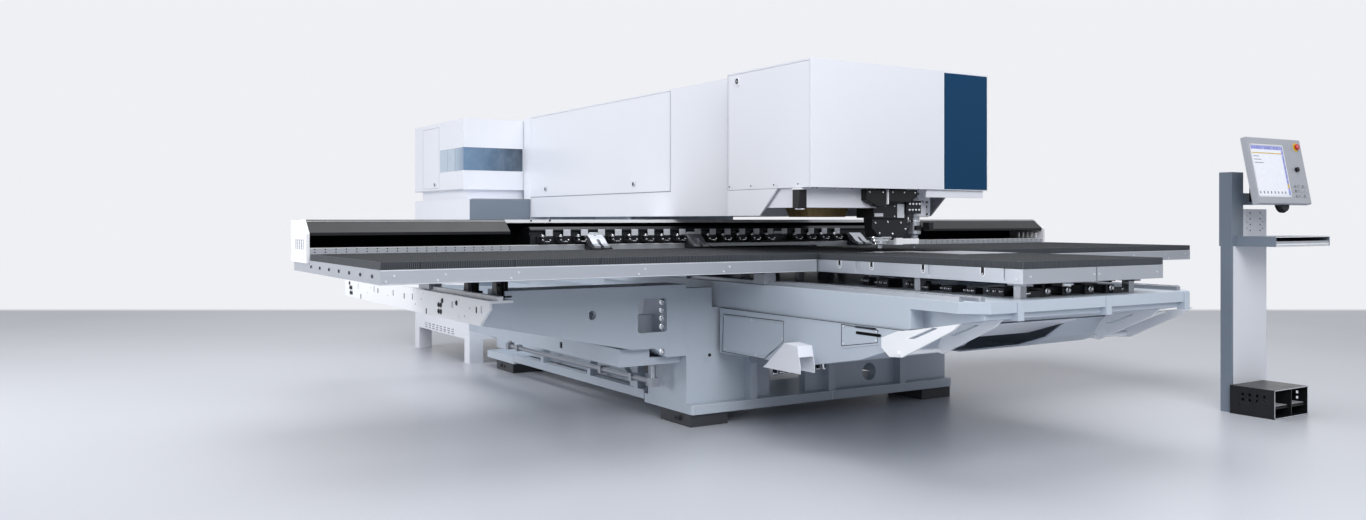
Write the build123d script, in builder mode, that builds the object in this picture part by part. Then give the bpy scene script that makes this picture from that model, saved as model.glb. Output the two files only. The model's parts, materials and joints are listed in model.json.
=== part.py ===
from build123d import *
import os
from math import cos, radians, sin

os.makedirs("parts", exist_ok=True)

# Punch-laser combination machine. Millimetres, +Z up, floor at Z = 0.
# -Y is the operator side with the punching head, +X is the console side, X = 0 is the punch axis plane.

# Heights above the floor
PAD_TOP = 79
BASE_TOP = 139
BED_BOTTOM = 742
BED_PLATE_BOTTOM = 849
BED_TOP = 906
RAIL_TOP = 928
TABLE_BOTTOM = 984
TABLE_RAIL_TOP = 1057
TABLE_TOP = 1096
GUIDE_BOTTOM = 1104
GUIDE_TOP = 1299
SKIRT_BOTTOM = 1323
HOOD_BOTTOM = 1489
HOOD_TOP = 2252

# Base and C-frame
BASE_HALF_X = 1128
FRONT_BASE_Y = (-1511, -904)
REAR_BASE_Y = (1290, 1900)
PAD_SIZE = (280, 360)
PORTAL_Y = (-1440, -1370)
FRAME_HALF_X = 970
FRAME_WALL = 30
FRAME_REAR_Y = 2060
COLUMN_FRONT_Y = 400
COLUMN_HALF_X = 500
ARM_TIP_Y = -2170
ARM_UPPER_TOP = 2072
FRAME_FLANGE = 60
FRAME_WEB = 30
THROAT_TOP = 1500
THROAT_RADIUS = 140

# Outrigger arms and outriggers
OUTRIGGER_X = 2494
OUTRIGGER_Y = (-1584, 1440)
OUTRIGGER_Z = (700, 851)
ARM_TOP = 892
ARM_END_X = 2479
ARM_FLANGE = 20
ARM_DEPTH = 260
REAR_ARM_Y = (1180, 1210)

# Front bed
BED_HALF_X = 890
BED_Y = (-3612, 300)
BED_CORNER = 108
BED_RAIL_XS = (775, 855)
BED_RAIL_WIDTH = 30
HULL_X = 905
HULL_INNER_X = 330
SHEET = 8

# Tables
SIDE_TABLE_X = (563, 3229)
SIDE_TABLE_Y = (-2036, -190)
SIDE_BRUSH_REAR_Y = -620
CENTRE_HALF_X = 555
CENTRE_Y = (-3606, 250)
TABLE_WALL = 20
BRUSH_START_X = 533
BRUSH_PITCH = 494
BRUSH_GAP = 6
GAP_BOTTOM = 1069
TOOL_BAY_X = (-215, 425)
TOOL_BAY_Y = (-2130, -1830)
RUNNING_FIT = 0.09
FLAP_X = (70, 520)
FLAP_Y = (-2640, -2170)
FLAP_AXIS = (-2182, 1038)
FLAP_SHAFT_RADIUS = 8

# Coordinate guide and transverse rail
GUIDE_HALF_X = 3229
GUIDE_Y = (-596, -190)
GUIDE_WALL = 22
END_PLATE = 18
COVER_INNER_X = (-1950, 1765)
SLIDE_X = (-1790, 1650)
STATION_PITCH = 132
STATION_FIRST_X = -1720
STATION_COUNT = 20
CLAMP_XS = (-1340, -540, 985)
CLAMP_AXIS = (-600, 1168)

# Head, hood and covers
HEAD_Y = -1980
LASER_X = 298
HOOD_HALF_X = 741
HOOD_Y = (-2202, -1337)
BLUE_X = 344
BLUE_WRAP = 400
SKIN = 12
COVER_HALF_X = 631
COVER_REAR_Y = 2222
FLAP_PANEL_Y = (-437, 2060)
FLAP_PANEL_BOTTOM = 1503

# Laser cabinet
CABINET_HALF_X = 1222
CABINET_REAR_Y = 3620
CABINET_UPPER_FRONT_Y = 2234
CABINET_LOWER_FRONT_Y = 2080
CABINET_LOWER_Z = (213, 1486)
CABINET_UPPER_Z = (1575, 2228)
WINDOW_Z = (1751, 1963)

# Console
CONSOLE_X = (2246, 2661)
CONSOLE_Y = (-2974, -2894)
CONSOLE_TOP = 1620
TRAY_X = (2286, 2948)
TRAY_Y = (-3250, -2974)
TRAY_Z = (1120, 1187)
MONITOR_TILT = 11
MONITOR_PIVOT = (2458, -3100, 1560)
PEDAL_BOX_X = (2221, 2621)
PEDAL_BOX_Y = (-3277, -2976)
PEDAL_BOX_TOP = 190


def block(x, y, z, mode=Mode.ADD):
    """A rectangular bar between two corners, given as ranges."""
    centre = ((x[0] + x[1]) / 2, (y[0] + y[1]) / 2, (z[0] + z[1]) / 2)
    with Locations(centre):
        Box(x[1] - x[0], y[1] - y[0], z[1] - z[0], mode=mode)


def along_x(points, x, mode=Mode.ADD, round_by=0):
    """A (Y, Z) outline carried from x[0] to x[1]."""
    with BuildSketch(Plane.YZ.offset(x[0])) as outline:
        with BuildLine():
            Polyline(*points, close=True)
        make_face()
        if round_by:
            fillet(outline.vertices(), round_by)
    extrude(outline.sketch, amount=x[1] - x[0], mode=mode)


def along_y(points, y, mode=Mode.ADD, round_by=0):
    """An (X, Z) outline carried from y[1] forward to y[0]."""
    with BuildSketch(Plane.XZ.offset(-y[1])) as outline:
        with BuildLine():
            Polyline(*points, close=True)
        make_face()
        if round_by:
            fillet(outline.vertices(), round_by)
    extrude(outline.sketch, amount=y[1] - y[0], mode=mode)


def along_z(points, z, mode=Mode.ADD):
    """An (X, Y) outline carried from z[0] up to z[1]."""
    with BuildSketch(Plane.XY.offset(z[0])) as outline:
        with BuildLine():
            Polyline(*points, close=True)
        make_face()
    extrude(outline.sketch, amount=z[1] - z[0], mode=mode)


def frame_of(x, y, z, wall):
    """A rectangular tube frame, open at top and bottom."""
    block(x, y, z)
    inside_x = (x[0] + wall, x[1] - wall)
    inside_y = (y[0] + wall, y[1] - wall)
    block(inside_x, inside_y, z, mode=Mode.SUBTRACT)


def hole_y(x, z, y, radius, mode=Mode.SUBTRACT):
    """A round hole or pin through y[0] to y[1]."""
    with BuildSketch(Plane.XZ.offset(-y[1])) as circle:
        with Locations((x, z)):
            Circle(radius)
    extrude(circle.sketch, amount=y[1] - y[0], mode=mode)


def hole_x(y, z, x, radius, mode=Mode.SUBTRACT):
    """A round hole or pin through x[0] to x[1]."""
    with BuildSketch(Plane.YZ.offset(x[0])) as circle:
        with Locations((y, z)):
            Circle(radius)
    extrude(circle.sketch, amount=x[1] - x[0], mode=mode)


def hole_z(x, y, z, radius, mode=Mode.SUBTRACT):
    """A round hole or pin through z[0] to z[1]."""
    with BuildSketch(Plane.XY.offset(z[0])) as circle:
        with Locations((x, y)):
            Circle(radius)
    extrude(circle.sketch, amount=z[1] - z[0], mode=mode)


def blocks(centres, size, mode=Mode.ADD):
    """The same rectangular bar at every centre in a list."""
    with Locations(*centres):
        Box(*size, mode=mode)


def cut_corners(low, high, cut):
    """A rectangle between two corner points with all four corners cut off."""
    return [
        (low[0] + cut, low[1]),
        (high[0] - cut, low[1]),
        (high[0], low[1] + cut),
        (high[0], high[1] - cut),
        (high[0] - cut, high[1]),
        (low[0] + cut, high[1]),
        (low[0], high[1] - cut),
        (low[0], low[1] + cut),
    ]


def flip(span):
    """The mirror image of an X range."""
    return (-span[1], -span[0])


def on_side(side, span):
    """An X range given for the right side, or its mirror image where side is -1."""
    return span if side > 0 else flip(span)


# Levelling feet under both base plates: wedge pads with their set screws on the outer faces
SET_SCREW_RADIUS = 9
with BuildPart() as levelling_feet:
    for base_y in (FRONT_BASE_Y, REAR_BASE_Y):
        for side in (-1, 1):
            pad_x = side * (BASE_HALF_X - PAD_SIZE[0] / 2)
            pad_y = base_y[0] + 20 + PAD_SIZE[1] / 2
            with Locations((pad_x, pad_y, PAD_TOP / 2)):
                Box(PAD_SIZE[0], PAD_SIZE[1], PAD_TOP)
            screw_x = (BASE_HALF_X, BASE_HALF_X + 12) if side > 0 else (-BASE_HALF_X - 12, -BASE_HALF_X)
            hole_x(pad_y, PAD_TOP / 2, screw_x, SET_SCREW_RADIUS, mode=Mode.ADD)
levelling_feet.part.label = "levelling_feet"
export_step(levelling_feet.part, "parts/levelling_feet.step")

# Front and rear base plates
with BuildPart() as base_plates:
    for base_y in (FRONT_BASE_Y, REAR_BASE_Y):
        block((-BASE_HALF_X, BASE_HALF_X), base_y, (PAD_TOP, BASE_TOP))
    chamfer(base_plates.edges().filter_by(Axis.Z), 12)
base_plates.part.label = "base_plates"
export_step(base_plates.part, "parts/base_plates.step")

# Front portal: the thick front plate of the base with three ribs, a doorway and a round hole
PORTAL_EAR_X = 935
PORTAL_EAR_TOP = 868
RIB_XS = (-650, 0, 650)
RIB_THICKNESS = 55
RIB_TOP = 415
DOORWAY = ((-480, -180), (BASE_TOP, 420))
PORTAL_HOLE = (390, 232)
PORTAL_HOLE_RADIUS = 62
with BuildPart() as base_portal:
    portal_outline = [
        (-BASE_HALF_X, BASE_TOP),
        (BASE_HALF_X, BASE_TOP),
        (BASE_HALF_X, PORTAL_EAR_TOP),
        (PORTAL_EAR_X, PORTAL_EAR_TOP),
        (PORTAL_EAR_X, BED_BOTTOM),
        (-PORTAL_EAR_X, BED_BOTTOM),
        (-PORTAL_EAR_X, PORTAL_EAR_TOP),
        (-BASE_HALF_X, PORTAL_EAR_TOP),
    ]
    along_y(portal_outline, PORTAL_Y)
    for side in (-1, 1):
        cheek = (side * BASE_HALF_X, side * (BASE_HALF_X - 30))
        block((min(cheek), max(cheek)), (PORTAL_Y[1], FRONT_BASE_Y[1] - 60), (BASE_TOP, 430))
    for rib_x in RIB_XS:
        rib_outline = [
            (PORTAL_Y[0], BASE_TOP),
            (FRONT_BASE_Y[0] + 6, BASE_TOP),
            (FRONT_BASE_Y[0] + 6, RIB_TOP - 45),
            (FRONT_BASE_Y[0] + 31, RIB_TOP),
            (PORTAL_Y[0], RIB_TOP),
        ]
        along_x(rib_outline, (rib_x - RIB_THICKNESS / 2, rib_x + RIB_THICKNESS / 2))
    block(DOORWAY[0], PORTAL_Y, DOORWAY[1], mode=Mode.SUBTRACT)
    hole_y(PORTAL_HOLE[0], PORTAL_HOLE[1], PORTAL_Y, PORTAL_HOLE_RADIUS)
base_portal.part.label = "base_portal"
export_step(base_portal.part, "parts/base_portal.step")

# Base frame: the long box below the bed, with windows in both walls
FRAME_WINDOW_YS = ((-1150, -560), (-380, 210), (390, 980))
FRAME_WINDOW_Z = (230, 640)
WINDOW_CORNER = 50
with BuildPart() as base_frame:
    block((-FRAME_HALF_X, FRAME_HALF_X), (PORTAL_Y[1], FRAME_REAR_Y), (BASE_TOP, BED_BOTTOM))
    inner_x = (-FRAME_HALF_X + FRAME_WALL, FRAME_HALF_X - FRAME_WALL)
    inner_y = (PORTAL_Y[1], FRAME_REAR_Y - FRAME_WALL)
    block(inner_x, inner_y, (BASE_TOP, BED_BOTTOM - FRAME_WALL), mode=Mode.SUBTRACT)
    for window_y in FRAME_WINDOW_YS:
        low_corner = (window_y[0], FRAME_WINDOW_Z[0])
        high_corner = (window_y[1], FRAME_WINDOW_Z[1])
        window = cut_corners(low_corner, high_corner, WINDOW_CORNER)
        along_x(window, (-FRAME_HALF_X, FRAME_HALF_X), mode=Mode.SUBTRACT)
base_frame.part.label = "base_frame"
export_step(base_frame.part, "parts/base_frame.step")

# C-frame: the flanged column and upper arm with one central web, and bulkheads that carry the covers
COLUMN_REAR_Y = 2000
BULKHEAD_YS = (-2000, -1250, -300, 700, 1700)
BULKHEAD_HALF_X = 606
BULKHEAD_HALF_Y = 10
BULKHEAD_Z = (1560, HOOD_TOP - SKIN)
with BuildPart() as c_frame:
    with BuildSketch(Plane.YZ.offset(-COLUMN_HALF_X)):
        with BuildLine():
            FilletPolyline(
                (COLUMN_FRONT_Y, BED_BOTTOM),
                (COLUMN_FRONT_Y, THROAT_TOP),
                (ARM_TIP_Y, THROAT_TOP),
                (ARM_TIP_Y, ARM_UPPER_TOP),
                (COLUMN_REAR_Y, ARM_UPPER_TOP),
                (COLUMN_REAR_Y, BED_BOTTOM),
                radius=THROAT_RADIUS,
            )
            Line((COLUMN_REAR_Y, BED_BOTTOM), (COLUMN_FRONT_Y, BED_BOTTOM))
        make_face()
    extrude(amount=2 * COLUMN_HALF_X)
    pocket = [
        (COLUMN_FRONT_Y + FRAME_FLANGE, BED_BOTTOM + FRAME_FLANGE),
        (COLUMN_FRONT_Y + FRAME_FLANGE, THROAT_TOP + FRAME_FLANGE),
        (ARM_TIP_Y + FRAME_FLANGE, THROAT_TOP + FRAME_FLANGE),
        (ARM_TIP_Y + FRAME_FLANGE, ARM_UPPER_TOP - FRAME_FLANGE),
        (COLUMN_REAR_Y - FRAME_FLANGE, ARM_UPPER_TOP - FRAME_FLANGE),
        (COLUMN_REAR_Y - FRAME_FLANGE, BED_BOTTOM + FRAME_FLANGE),
    ]
    along_x(pocket, (-COLUMN_HALF_X, -FRAME_WEB), mode=Mode.SUBTRACT)
    along_x(pocket, (FRAME_WEB, COLUMN_HALF_X), mode=Mode.SUBTRACT)
    bulkhead_centre_z = (BULKHEAD_Z[0] + BULKHEAD_Z[1]) / 2
    bulkhead_size = (2 * BULKHEAD_HALF_X, 2 * BULKHEAD_HALF_Y, BULKHEAD_Z[1] - BULKHEAD_Z[0])
    blocks([(0, bulkhead_y, bulkhead_centre_z) for bulkhead_y in BULKHEAD_YS], bulkhead_size)
c_frame.part.label = "c_frame"
export_step(c_frame.part, "parts/c_frame.step")

# Tapered outrigger arms: a front plate with a bolted window and a round hole, flanged behind
ARM_Y = (-1440, -1400)
ARM_LOWER_EDGE = [(-2362, 677), (-1600, 522), (-1512, 504), (-1360, 504), (-1270, 444)]
ARM_WINDOW = ((-1476, -1268), (604, 813))
ARM_HOLE = (-1788, 729)
ARM_HOLE_RADIUS = 27
ARM_STEP = (-2345, 836)
with BuildPart() as outrigger_arms:
    arm_outline = [
        (ARM_STEP[0], ARM_TOP),
        ARM_STEP,
        (-ARM_END_X, ARM_STEP[1]),
        (-ARM_END_X, OUTRIGGER_Z[0]),
    ]
    arm_outline += ARM_LOWER_EDGE
    arm_outline += [(-BASE_HALF_X, 444), (-BASE_HALF_X, ARM_TOP)]
    along_y(arm_outline, (ARM_Y[0], ARM_Y[0] + ARM_DEPTH))
    inner_outline = [
        (ARM_STEP[0] + ARM_FLANGE, ARM_TOP - ARM_FLANGE),
        (ARM_STEP[0] + ARM_FLANGE, ARM_STEP[1] - ARM_FLANGE),
        (-ARM_END_X + ARM_FLANGE, ARM_STEP[1] - ARM_FLANGE),
        (-ARM_END_X + ARM_FLANGE, OUTRIGGER_Z[0] + ARM_FLANGE),
        (-2362, 677 + ARM_FLANGE),
        (-1600, 522 + ARM_FLANGE),
        (-1290, 522 + ARM_FLANGE),
        (-1290, ARM_TOP - ARM_FLANGE),
    ]
    along_y(inner_outline, (ARM_Y[1], ARM_Y[0] + ARM_DEPTH), mode=Mode.SUBTRACT)
    window_outline = [
        (ARM_WINDOW[0][0], ARM_WINDOW[1][0]),
        (ARM_WINDOW[0][1], ARM_WINDOW[1][0]),
        (ARM_WINDOW[0][1], ARM_WINDOW[1][1]),
        (ARM_WINDOW[0][0], ARM_WINDOW[1][1]),
    ]
    along_y(window_outline, ARM_Y, mode=Mode.SUBTRACT, round_by=18)
    hole_y(ARM_HOLE[0], ARM_HOLE[1], ARM_Y, ARM_HOLE_RADIUS)
    block((-1560, -1290), (ARM_Y[0] + 150, ARM_Y[0] + 180), (542, 700))
    mirror(about=Plane.YZ)
outrigger_arms.part.label = "outrigger_arms"
export_step(outrigger_arms.part, "parts/outrigger_arms.step")

# Rear arms: plain tapered plates from the C-frame's wall to the outriggers' rear ends
with BuildPart() as rear_arms:
    for side in (-1, 1):
        rear_outline = [
            (side * FRAME_HALF_X, 300),
            (side * FRAME_HALF_X, 720),
            (side * ARM_END_X, OUTRIGGER_Z[1] - 20),
            (side * ARM_END_X, OUTRIGGER_Z[0]),
        ]
        along_y(rear_outline, REAR_ARM_Y)
rear_arms.part.label = "rear_arms"
export_step(rear_arms.part, "parts/rear_arms.step")

# Outriggers: channels with a rail lip along Y, cut away below the front end, with long holes
LIP_WIDTH = 140
LIP = 15
OUTRIGGER_SLOT_YS = (-1460, -990, -240, 180, 640, 1060)
with BuildPart() as outriggers:
    for side in (-1, 1):
        web = (side * OUTRIGGER_X, side * ARM_END_X)
        web_x = (min(web), max(web))
        web_outline = [
            (OUTRIGGER_Y[0], OUTRIGGER_Z[1]),
            (OUTRIGGER_Y[0], OUTRIGGER_Z[1] - 45),
            (OUTRIGGER_Y[0] + 150, OUTRIGGER_Z[0]),
            (OUTRIGGER_Y[1], OUTRIGGER_Z[0]),
            (OUTRIGGER_Y[1], OUTRIGGER_Z[1]),
        ]
        along_x(web_outline, web_x)
        for slot_y in OUTRIGGER_SLOT_YS:
            block(web_x, (slot_y - 9, slot_y + 9), (775, 815), mode=Mode.SUBTRACT)
        lip = (side * ARM_END_X, side * (OUTRIGGER_X - LIP_WIDTH))
        block((min(lip), max(lip)), OUTRIGGER_Y, (OUTRIGGER_Z[1] - LIP, OUTRIGGER_Z[1]))
        rail = (side * (OUTRIGGER_X - 50), side * (OUTRIGGER_X - 80))
        block((min(rail), max(rail)), OUTRIGGER_Y, (OUTRIGGER_Z[1], OUTRIGGER_Z[1] + RAIL_TOP - BED_TOP))
outriggers.part.label = "outriggers"
export_step(outriggers.part, "parts/outriggers.step")

# Longitudinal side beams under the arms, each tied to the portal by a short bracket
SIDE_BEAM_X = (-1568, -1360)
SIDE_BEAM_Y = (-1380, 1180)
SIDE_BEAM_Z = (394, 504)
SIDE_BEAM_WALL = 12
BEAM_PORT_Y = (-568, -528)
with BuildPart() as side_beams:
    for side in (-1, 1):
        beam_x = SIDE_BEAM_X if side < 0 else flip(SIDE_BEAM_X)
        beam_outline = [
            (beam_x[0], SIDE_BEAM_Z[0]),
            (beam_x[1], SIDE_BEAM_Z[0]),
            (beam_x[1], SIDE_BEAM_Z[1]),
            (beam_x[0], SIDE_BEAM_Z[1]),
        ]
        along_y(beam_outline, SIDE_BEAM_Y)
        bore_x = (beam_x[0] + SIDE_BEAM_WALL, beam_x[1] - SIDE_BEAM_WALL)
        bore_y = (SIDE_BEAM_Y[0] + SIDE_BEAM_WALL, SIDE_BEAM_Y[1])
        bore_z = (SIDE_BEAM_Z[0] + SIDE_BEAM_WALL, SIDE_BEAM_Z[1] - SIDE_BEAM_WALL)
        block(bore_x, bore_y, bore_z, mode=Mode.SUBTRACT)
        bracket = (side * BASE_HALF_X, side * -SIDE_BEAM_X[1])
        block((min(bracket), max(bracket)), (-1370, -1190), (SIDE_BEAM_Z[0], 440))
        rear_tie = (side * FRAME_HALF_X, side * -SIDE_BEAM_X[1])
        block((min(rear_tie), max(rear_tie)), (1040, 1160), (SIDE_BEAM_Z[0], 470))
        port_x = on_side(side, (-SIDE_BEAM_X[0] - SIDE_BEAM_WALL, -SIDE_BEAM_X[0]))
        block(port_x, BEAM_PORT_Y, (430, 470), mode=Mode.SUBTRACT)
side_beams.part.label = "side_beams"
export_step(side_beams.part, "parts/side_beams.step")

# Floor frames between the base plates, with posts and a diagonal brace up to the side beams' ties
FLOOR_BEAM_X = (-1128, -1068)
FLOOR_POST_YS = (-820, -120, 700)
with BuildPart() as floor_frames:
    for side in (-1, 1):
        beam_x = FLOOR_BEAM_X if side < 0 else flip(FLOOR_BEAM_X)
        block(beam_x, (FRONT_BASE_Y[1], REAR_BASE_Y[0]), (PAD_TOP + 20, BASE_TOP + 20))
        for post_y in FLOOR_POST_YS:
            tie = (side * 1068, side * FRAME_HALF_X)
            block(beam_x, (post_y, post_y + 50), (BASE_TOP + 20, 440))
            block((min(tie), max(tie)), (post_y, post_y + 50), (400, 440))
        brace = [(-770, 180), (-700, 180), (-300, 420), (-370, 420)]
        along_x(brace, (beam_x[0] + 10, beam_x[1] - 10))
        along_x([(-770, 159), (-700, 159), (-700, 200), (-770, 200)], (beam_x[0] + 10, beam_x[1] - 10))
        along_x([(-370, 400), (-120, 400), (-120, 430), (-370, 430)], (beam_x[0] + 10, beam_x[1] - 10))
floor_frames.part.label = "floor_frames"
export_step(floor_frames.part, "parts/floor_frames.step")

# Water pipe along the left side: a run between two risers under the side beam, with square elbows and clamps
PIPE_X = -1245
PIPE_Z = 262
PIPE_RADIUS = 17
PIPE_Y = (-1230, 1100)
ELBOW = 54
CLAMP_YS = (-962, -530, 918)
CLAMP_SIZE = (50, 36, 50)
with BuildPart() as water_pipe:
    elbow_ends = (PIPE_Y[0] + ELBOW / 2, PIPE_Y[1] - ELBOW / 2)
    hole_y(PIPE_X, PIPE_Z, elbow_ends, PIPE_RADIUS, mode=Mode.ADD)
    for riser_y in PIPE_Y:
        riser_z = (PIPE_Z + ELBOW / 2, SIDE_BEAM_Z[0])
        hole_z(PIPE_X, riser_y, riser_z, PIPE_RADIUS, mode=Mode.ADD)
    blocks([(PIPE_X, riser_y, PIPE_Z) for riser_y in PIPE_Y], (ELBOW, ELBOW, ELBOW))
    blocks([(PIPE_X, riser_y, SIDE_BEAM_Z[0] - ELBOW / 4) for riser_y in PIPE_Y], (ELBOW, ELBOW, ELBOW / 2))
    blocks([(PIPE_X, clamp_y, PIPE_Z) for clamp_y in CLAMP_YS], CLAMP_SIZE)
water_pipe.part.label = "water_pipe"
export_step(water_pipe.part, "parts/water_pipe.step")

# Front bed: the rail plate with cut corners, its cast body with a rising nose, posts and the flap's well
BED_BODY_HALF_X = 800
BED_POST_XS = (-584, 82, 752)
WELL_X = (FLAP_X[0] - 15, FLAP_X[1] + 15)
WELL_Y = (FLAP_Y[0] - 30, FLAP_Y[1] + 40)
NOSE_TOP = (BED_Y[0] + 30, BED_PLATE_BOTTOM - 30)
NOSE_FOOT = (BED_Y[0] + 460, BED_BOTTOM)
BED_SHOULDER_FRONT_Y = NOSE_FOOT[0] - 30


def nose_z(y):
    """Height of the bed's sloping underside at a given Y."""
    share = (y - NOSE_TOP[0]) / (NOSE_FOOT[0] - NOSE_TOP[0])
    return NOSE_TOP[1] + share * (NOSE_FOOT[1] - NOSE_TOP[1])


with BuildPart() as bed:
    plate_outline = [
        (-BED_HALF_X, BED_Y[1]),
        (-BED_HALF_X, BED_Y[0] + BED_CORNER),
        (-BED_HALF_X + BED_CORNER, BED_Y[0]),
        (BED_HALF_X - BED_CORNER, BED_Y[0]),
        (BED_HALF_X, BED_Y[0] + BED_CORNER),
        (BED_HALF_X, BED_Y[1]),
    ]
    along_z(plate_outline, (BED_PLATE_BOTTOM, BED_TOP))
    nose_outline = [
        (BED_Y[1], BED_BOTTOM),
        (BED_Y[1], BED_PLATE_BOTTOM),
        (NOSE_TOP[0], BED_PLATE_BOTTOM),
        NOSE_TOP,
        NOSE_FOOT,
    ]
    along_x(nose_outline, (-BED_BODY_HALF_X, BED_BODY_HALF_X))
    for post_x in BED_POST_XS:
        block((post_x - 22, post_x + 22), (BED_Y[0] - 8, BED_Y[0] + 40), (808, BED_TOP - 6))
    shoulder_outline = [
        (PORTAL_Y[1], BED_BOTTOM),
        (PORTAL_Y[1], BED_PLATE_BOTTOM),
        (BED_SHOULDER_FRONT_Y, BED_PLATE_BOTTOM),
        (BED_SHOULDER_FRONT_Y, nose_z(BED_SHOULDER_FRONT_Y)),
        NOSE_FOOT,
    ]
    for side in (-1, 1):
        along_x(shoulder_outline, on_side(side, (BED_BODY_HALF_X, BED_HALF_X)))
    block(WELL_X, WELL_Y, (BED_BOTTOM, BED_TOP), mode=Mode.SUBTRACT)
bed.part.label = "bed"
export_step(bed.part, "parts/bed.step")

# Linear rails on the bed, two on each side, running along Y
with BuildPart() as bed_rails:
    for side in (-1, 1):
        for index, rail_x in enumerate(BED_RAIL_XS):
            rail_outline = [
                (side * rail_x - BED_RAIL_WIDTH / 2, BED_TOP),
                (side * rail_x + BED_RAIL_WIDTH / 2, BED_TOP),
                (side * rail_x + BED_RAIL_WIDTH / 2, RAIL_TOP),
                (side * rail_x - BED_RAIL_WIDTH / 2, RAIL_TOP),
            ]
            along_y(rail_outline, (BED_Y[0] + BED_CORNER + 12 - 60 * (1 - index), BED_Y[1] - 20))
bed_rails.part.label = "bed_rails"
export_step(bed_rails.part, "parts/bed_rails.step")

# Bed covers: folded hulls below the bed's sides, with screwed panels, a handle slot and a rising nose
HULL_OUTLINE = [
    (-1489, 742),
    (-1489, 456),
    (-2353, 470),
    (-2820, 555),
    (-3013, 617),
    (-3180, 742),
]
PANEL_RAISE = 3
REAR_PANEL = [(-1535, 697), (-2157, 685), (-2157, 569), (-1971, 490), (-1535, 480)]
FRONT_PANEL = [(-2674, 715), (-2967, 715), (-2967, 650), (-2674, 600)]
HANDLE_SLOT_Y = (-2945, -2780)
HANDLE_SLOT_Z = (722, 734)
with BuildPart() as bed_covers:
    along_x(HULL_OUTLINE, (-HULL_X, -HULL_INNER_X))
    hollow = [
        (-1489, 742),
        (-1489, 456 + SHEET),
        (-2352, 470 + SHEET),
        (-2818, 555 + SHEET),
        (-3008, 617 + SHEET),
        (-3168, 742),
    ]
    along_x(hollow, (-HULL_X + SHEET, -HULL_INNER_X), mode=Mode.SUBTRACT)
    along_x(REAR_PANEL, (-HULL_X - PANEL_RAISE, -HULL_X))
    along_x(FRONT_PANEL, (-HULL_X - PANEL_RAISE, -HULL_X))
    block((-HULL_X, -HULL_X + SHEET), HANDLE_SLOT_Y, HANDLE_SLOT_Z, mode=Mode.SUBTRACT)
    mirror(about=Plane.YZ)
bed_covers.part.label = "bed_covers"
export_step(bed_covers.part, "parts/bed_covers.step")

# Chutes: the slanted outlet box on the left cover, and the folded trough between the two covers
CHUTE_X = (-1010, -HULL_X)
CHUTE_OUTLINE = [(-2090, 440), (-2120, 458), (-2300, 600), (-2416, 592), (-2443, 480), (-2443, 440)]
CHUTE_MOUTH = [(-2180, 430), (-2300, 572), (-2410, 566), (-2460, 480), (-2460, 430)]
TROUGH = [(-3230, 742), (-2900, 640), (-2250, 560), (-2250, 568), (-2900, 648), (-3230, 750)]
TROUGH_CHEEK = [(-2900, 648), (-2250, 568), (-2250, BED_BOTTOM), (-2900, BED_BOTTOM)]
TROUGH_HALF_X = 320
with BuildPart() as chutes:
    along_x(CHUTE_OUTLINE, CHUTE_X)
    along_x(CHUTE_MOUTH, (CHUTE_X[0] + 4, CHUTE_X[1] - 4), mode=Mode.SUBTRACT)
    along_x(TROUGH, (-TROUGH_HALF_X, TROUGH_HALF_X))
    for cheek_x in ((-TROUGH_HALF_X, -TROUGH_HALF_X + SHEET), (TROUGH_HALF_X - SHEET, TROUGH_HALF_X)):
        along_x(TROUGH_CHEEK, cheek_x)
chutes.part.label = "chutes"
export_step(chutes.part, "parts/chutes.step")

# Flap brackets: slotted arms outside the hulls' noses and inside on the bed's slope, on one cross shaft
BRACKET = 14
BRACKET_SLOT = [(-3200, 705), (-3235, 705), (-3400, 772), (-3365, 772)]
OUTER_BRACKET = [
    (-3000, 640),
    (-3060, 598),
    (-3150, 604),
    (-3490, 766),
    (-3545, 806),
    (-3200, 745),
    (-3120, 735),
    (-3000, 690),
]
INNER_BRACKET = [
    (-3100, 610),
    (-3150, 604),
    (-3490, 766),
    (-3545, nose_z(-3545)),
    (-3200, nose_z(-3200)),
    (-3150, 700),
]
SHAFT_YZ = (-3125, 622)
SHAFT_RADIUS = 12
with BuildPart() as flap_brackets:
    for side in (-1, 1):
        for near, outline in ((HULL_X, OUTER_BRACKET), (620, INNER_BRACKET)):
            spread = (near, near + BRACKET) if side > 0 else (-near - BRACKET, -near)
            along_x(outline, spread)
            along_x(BRACKET_SLOT, spread, mode=Mode.SUBTRACT)
        shaft_x = (600, HULL_X + BRACKET + 10) if side > 0 else (-HULL_X - BRACKET - 10, -600)
        hole_x(SHAFT_YZ[0], SHAFT_YZ[1], shaft_x, SHAFT_RADIUS, mode=Mode.ADD)
flap_brackets.part.label = "flap_brackets"
export_step(flap_brackets.part, "parts/flap_brackets.step")

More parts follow.
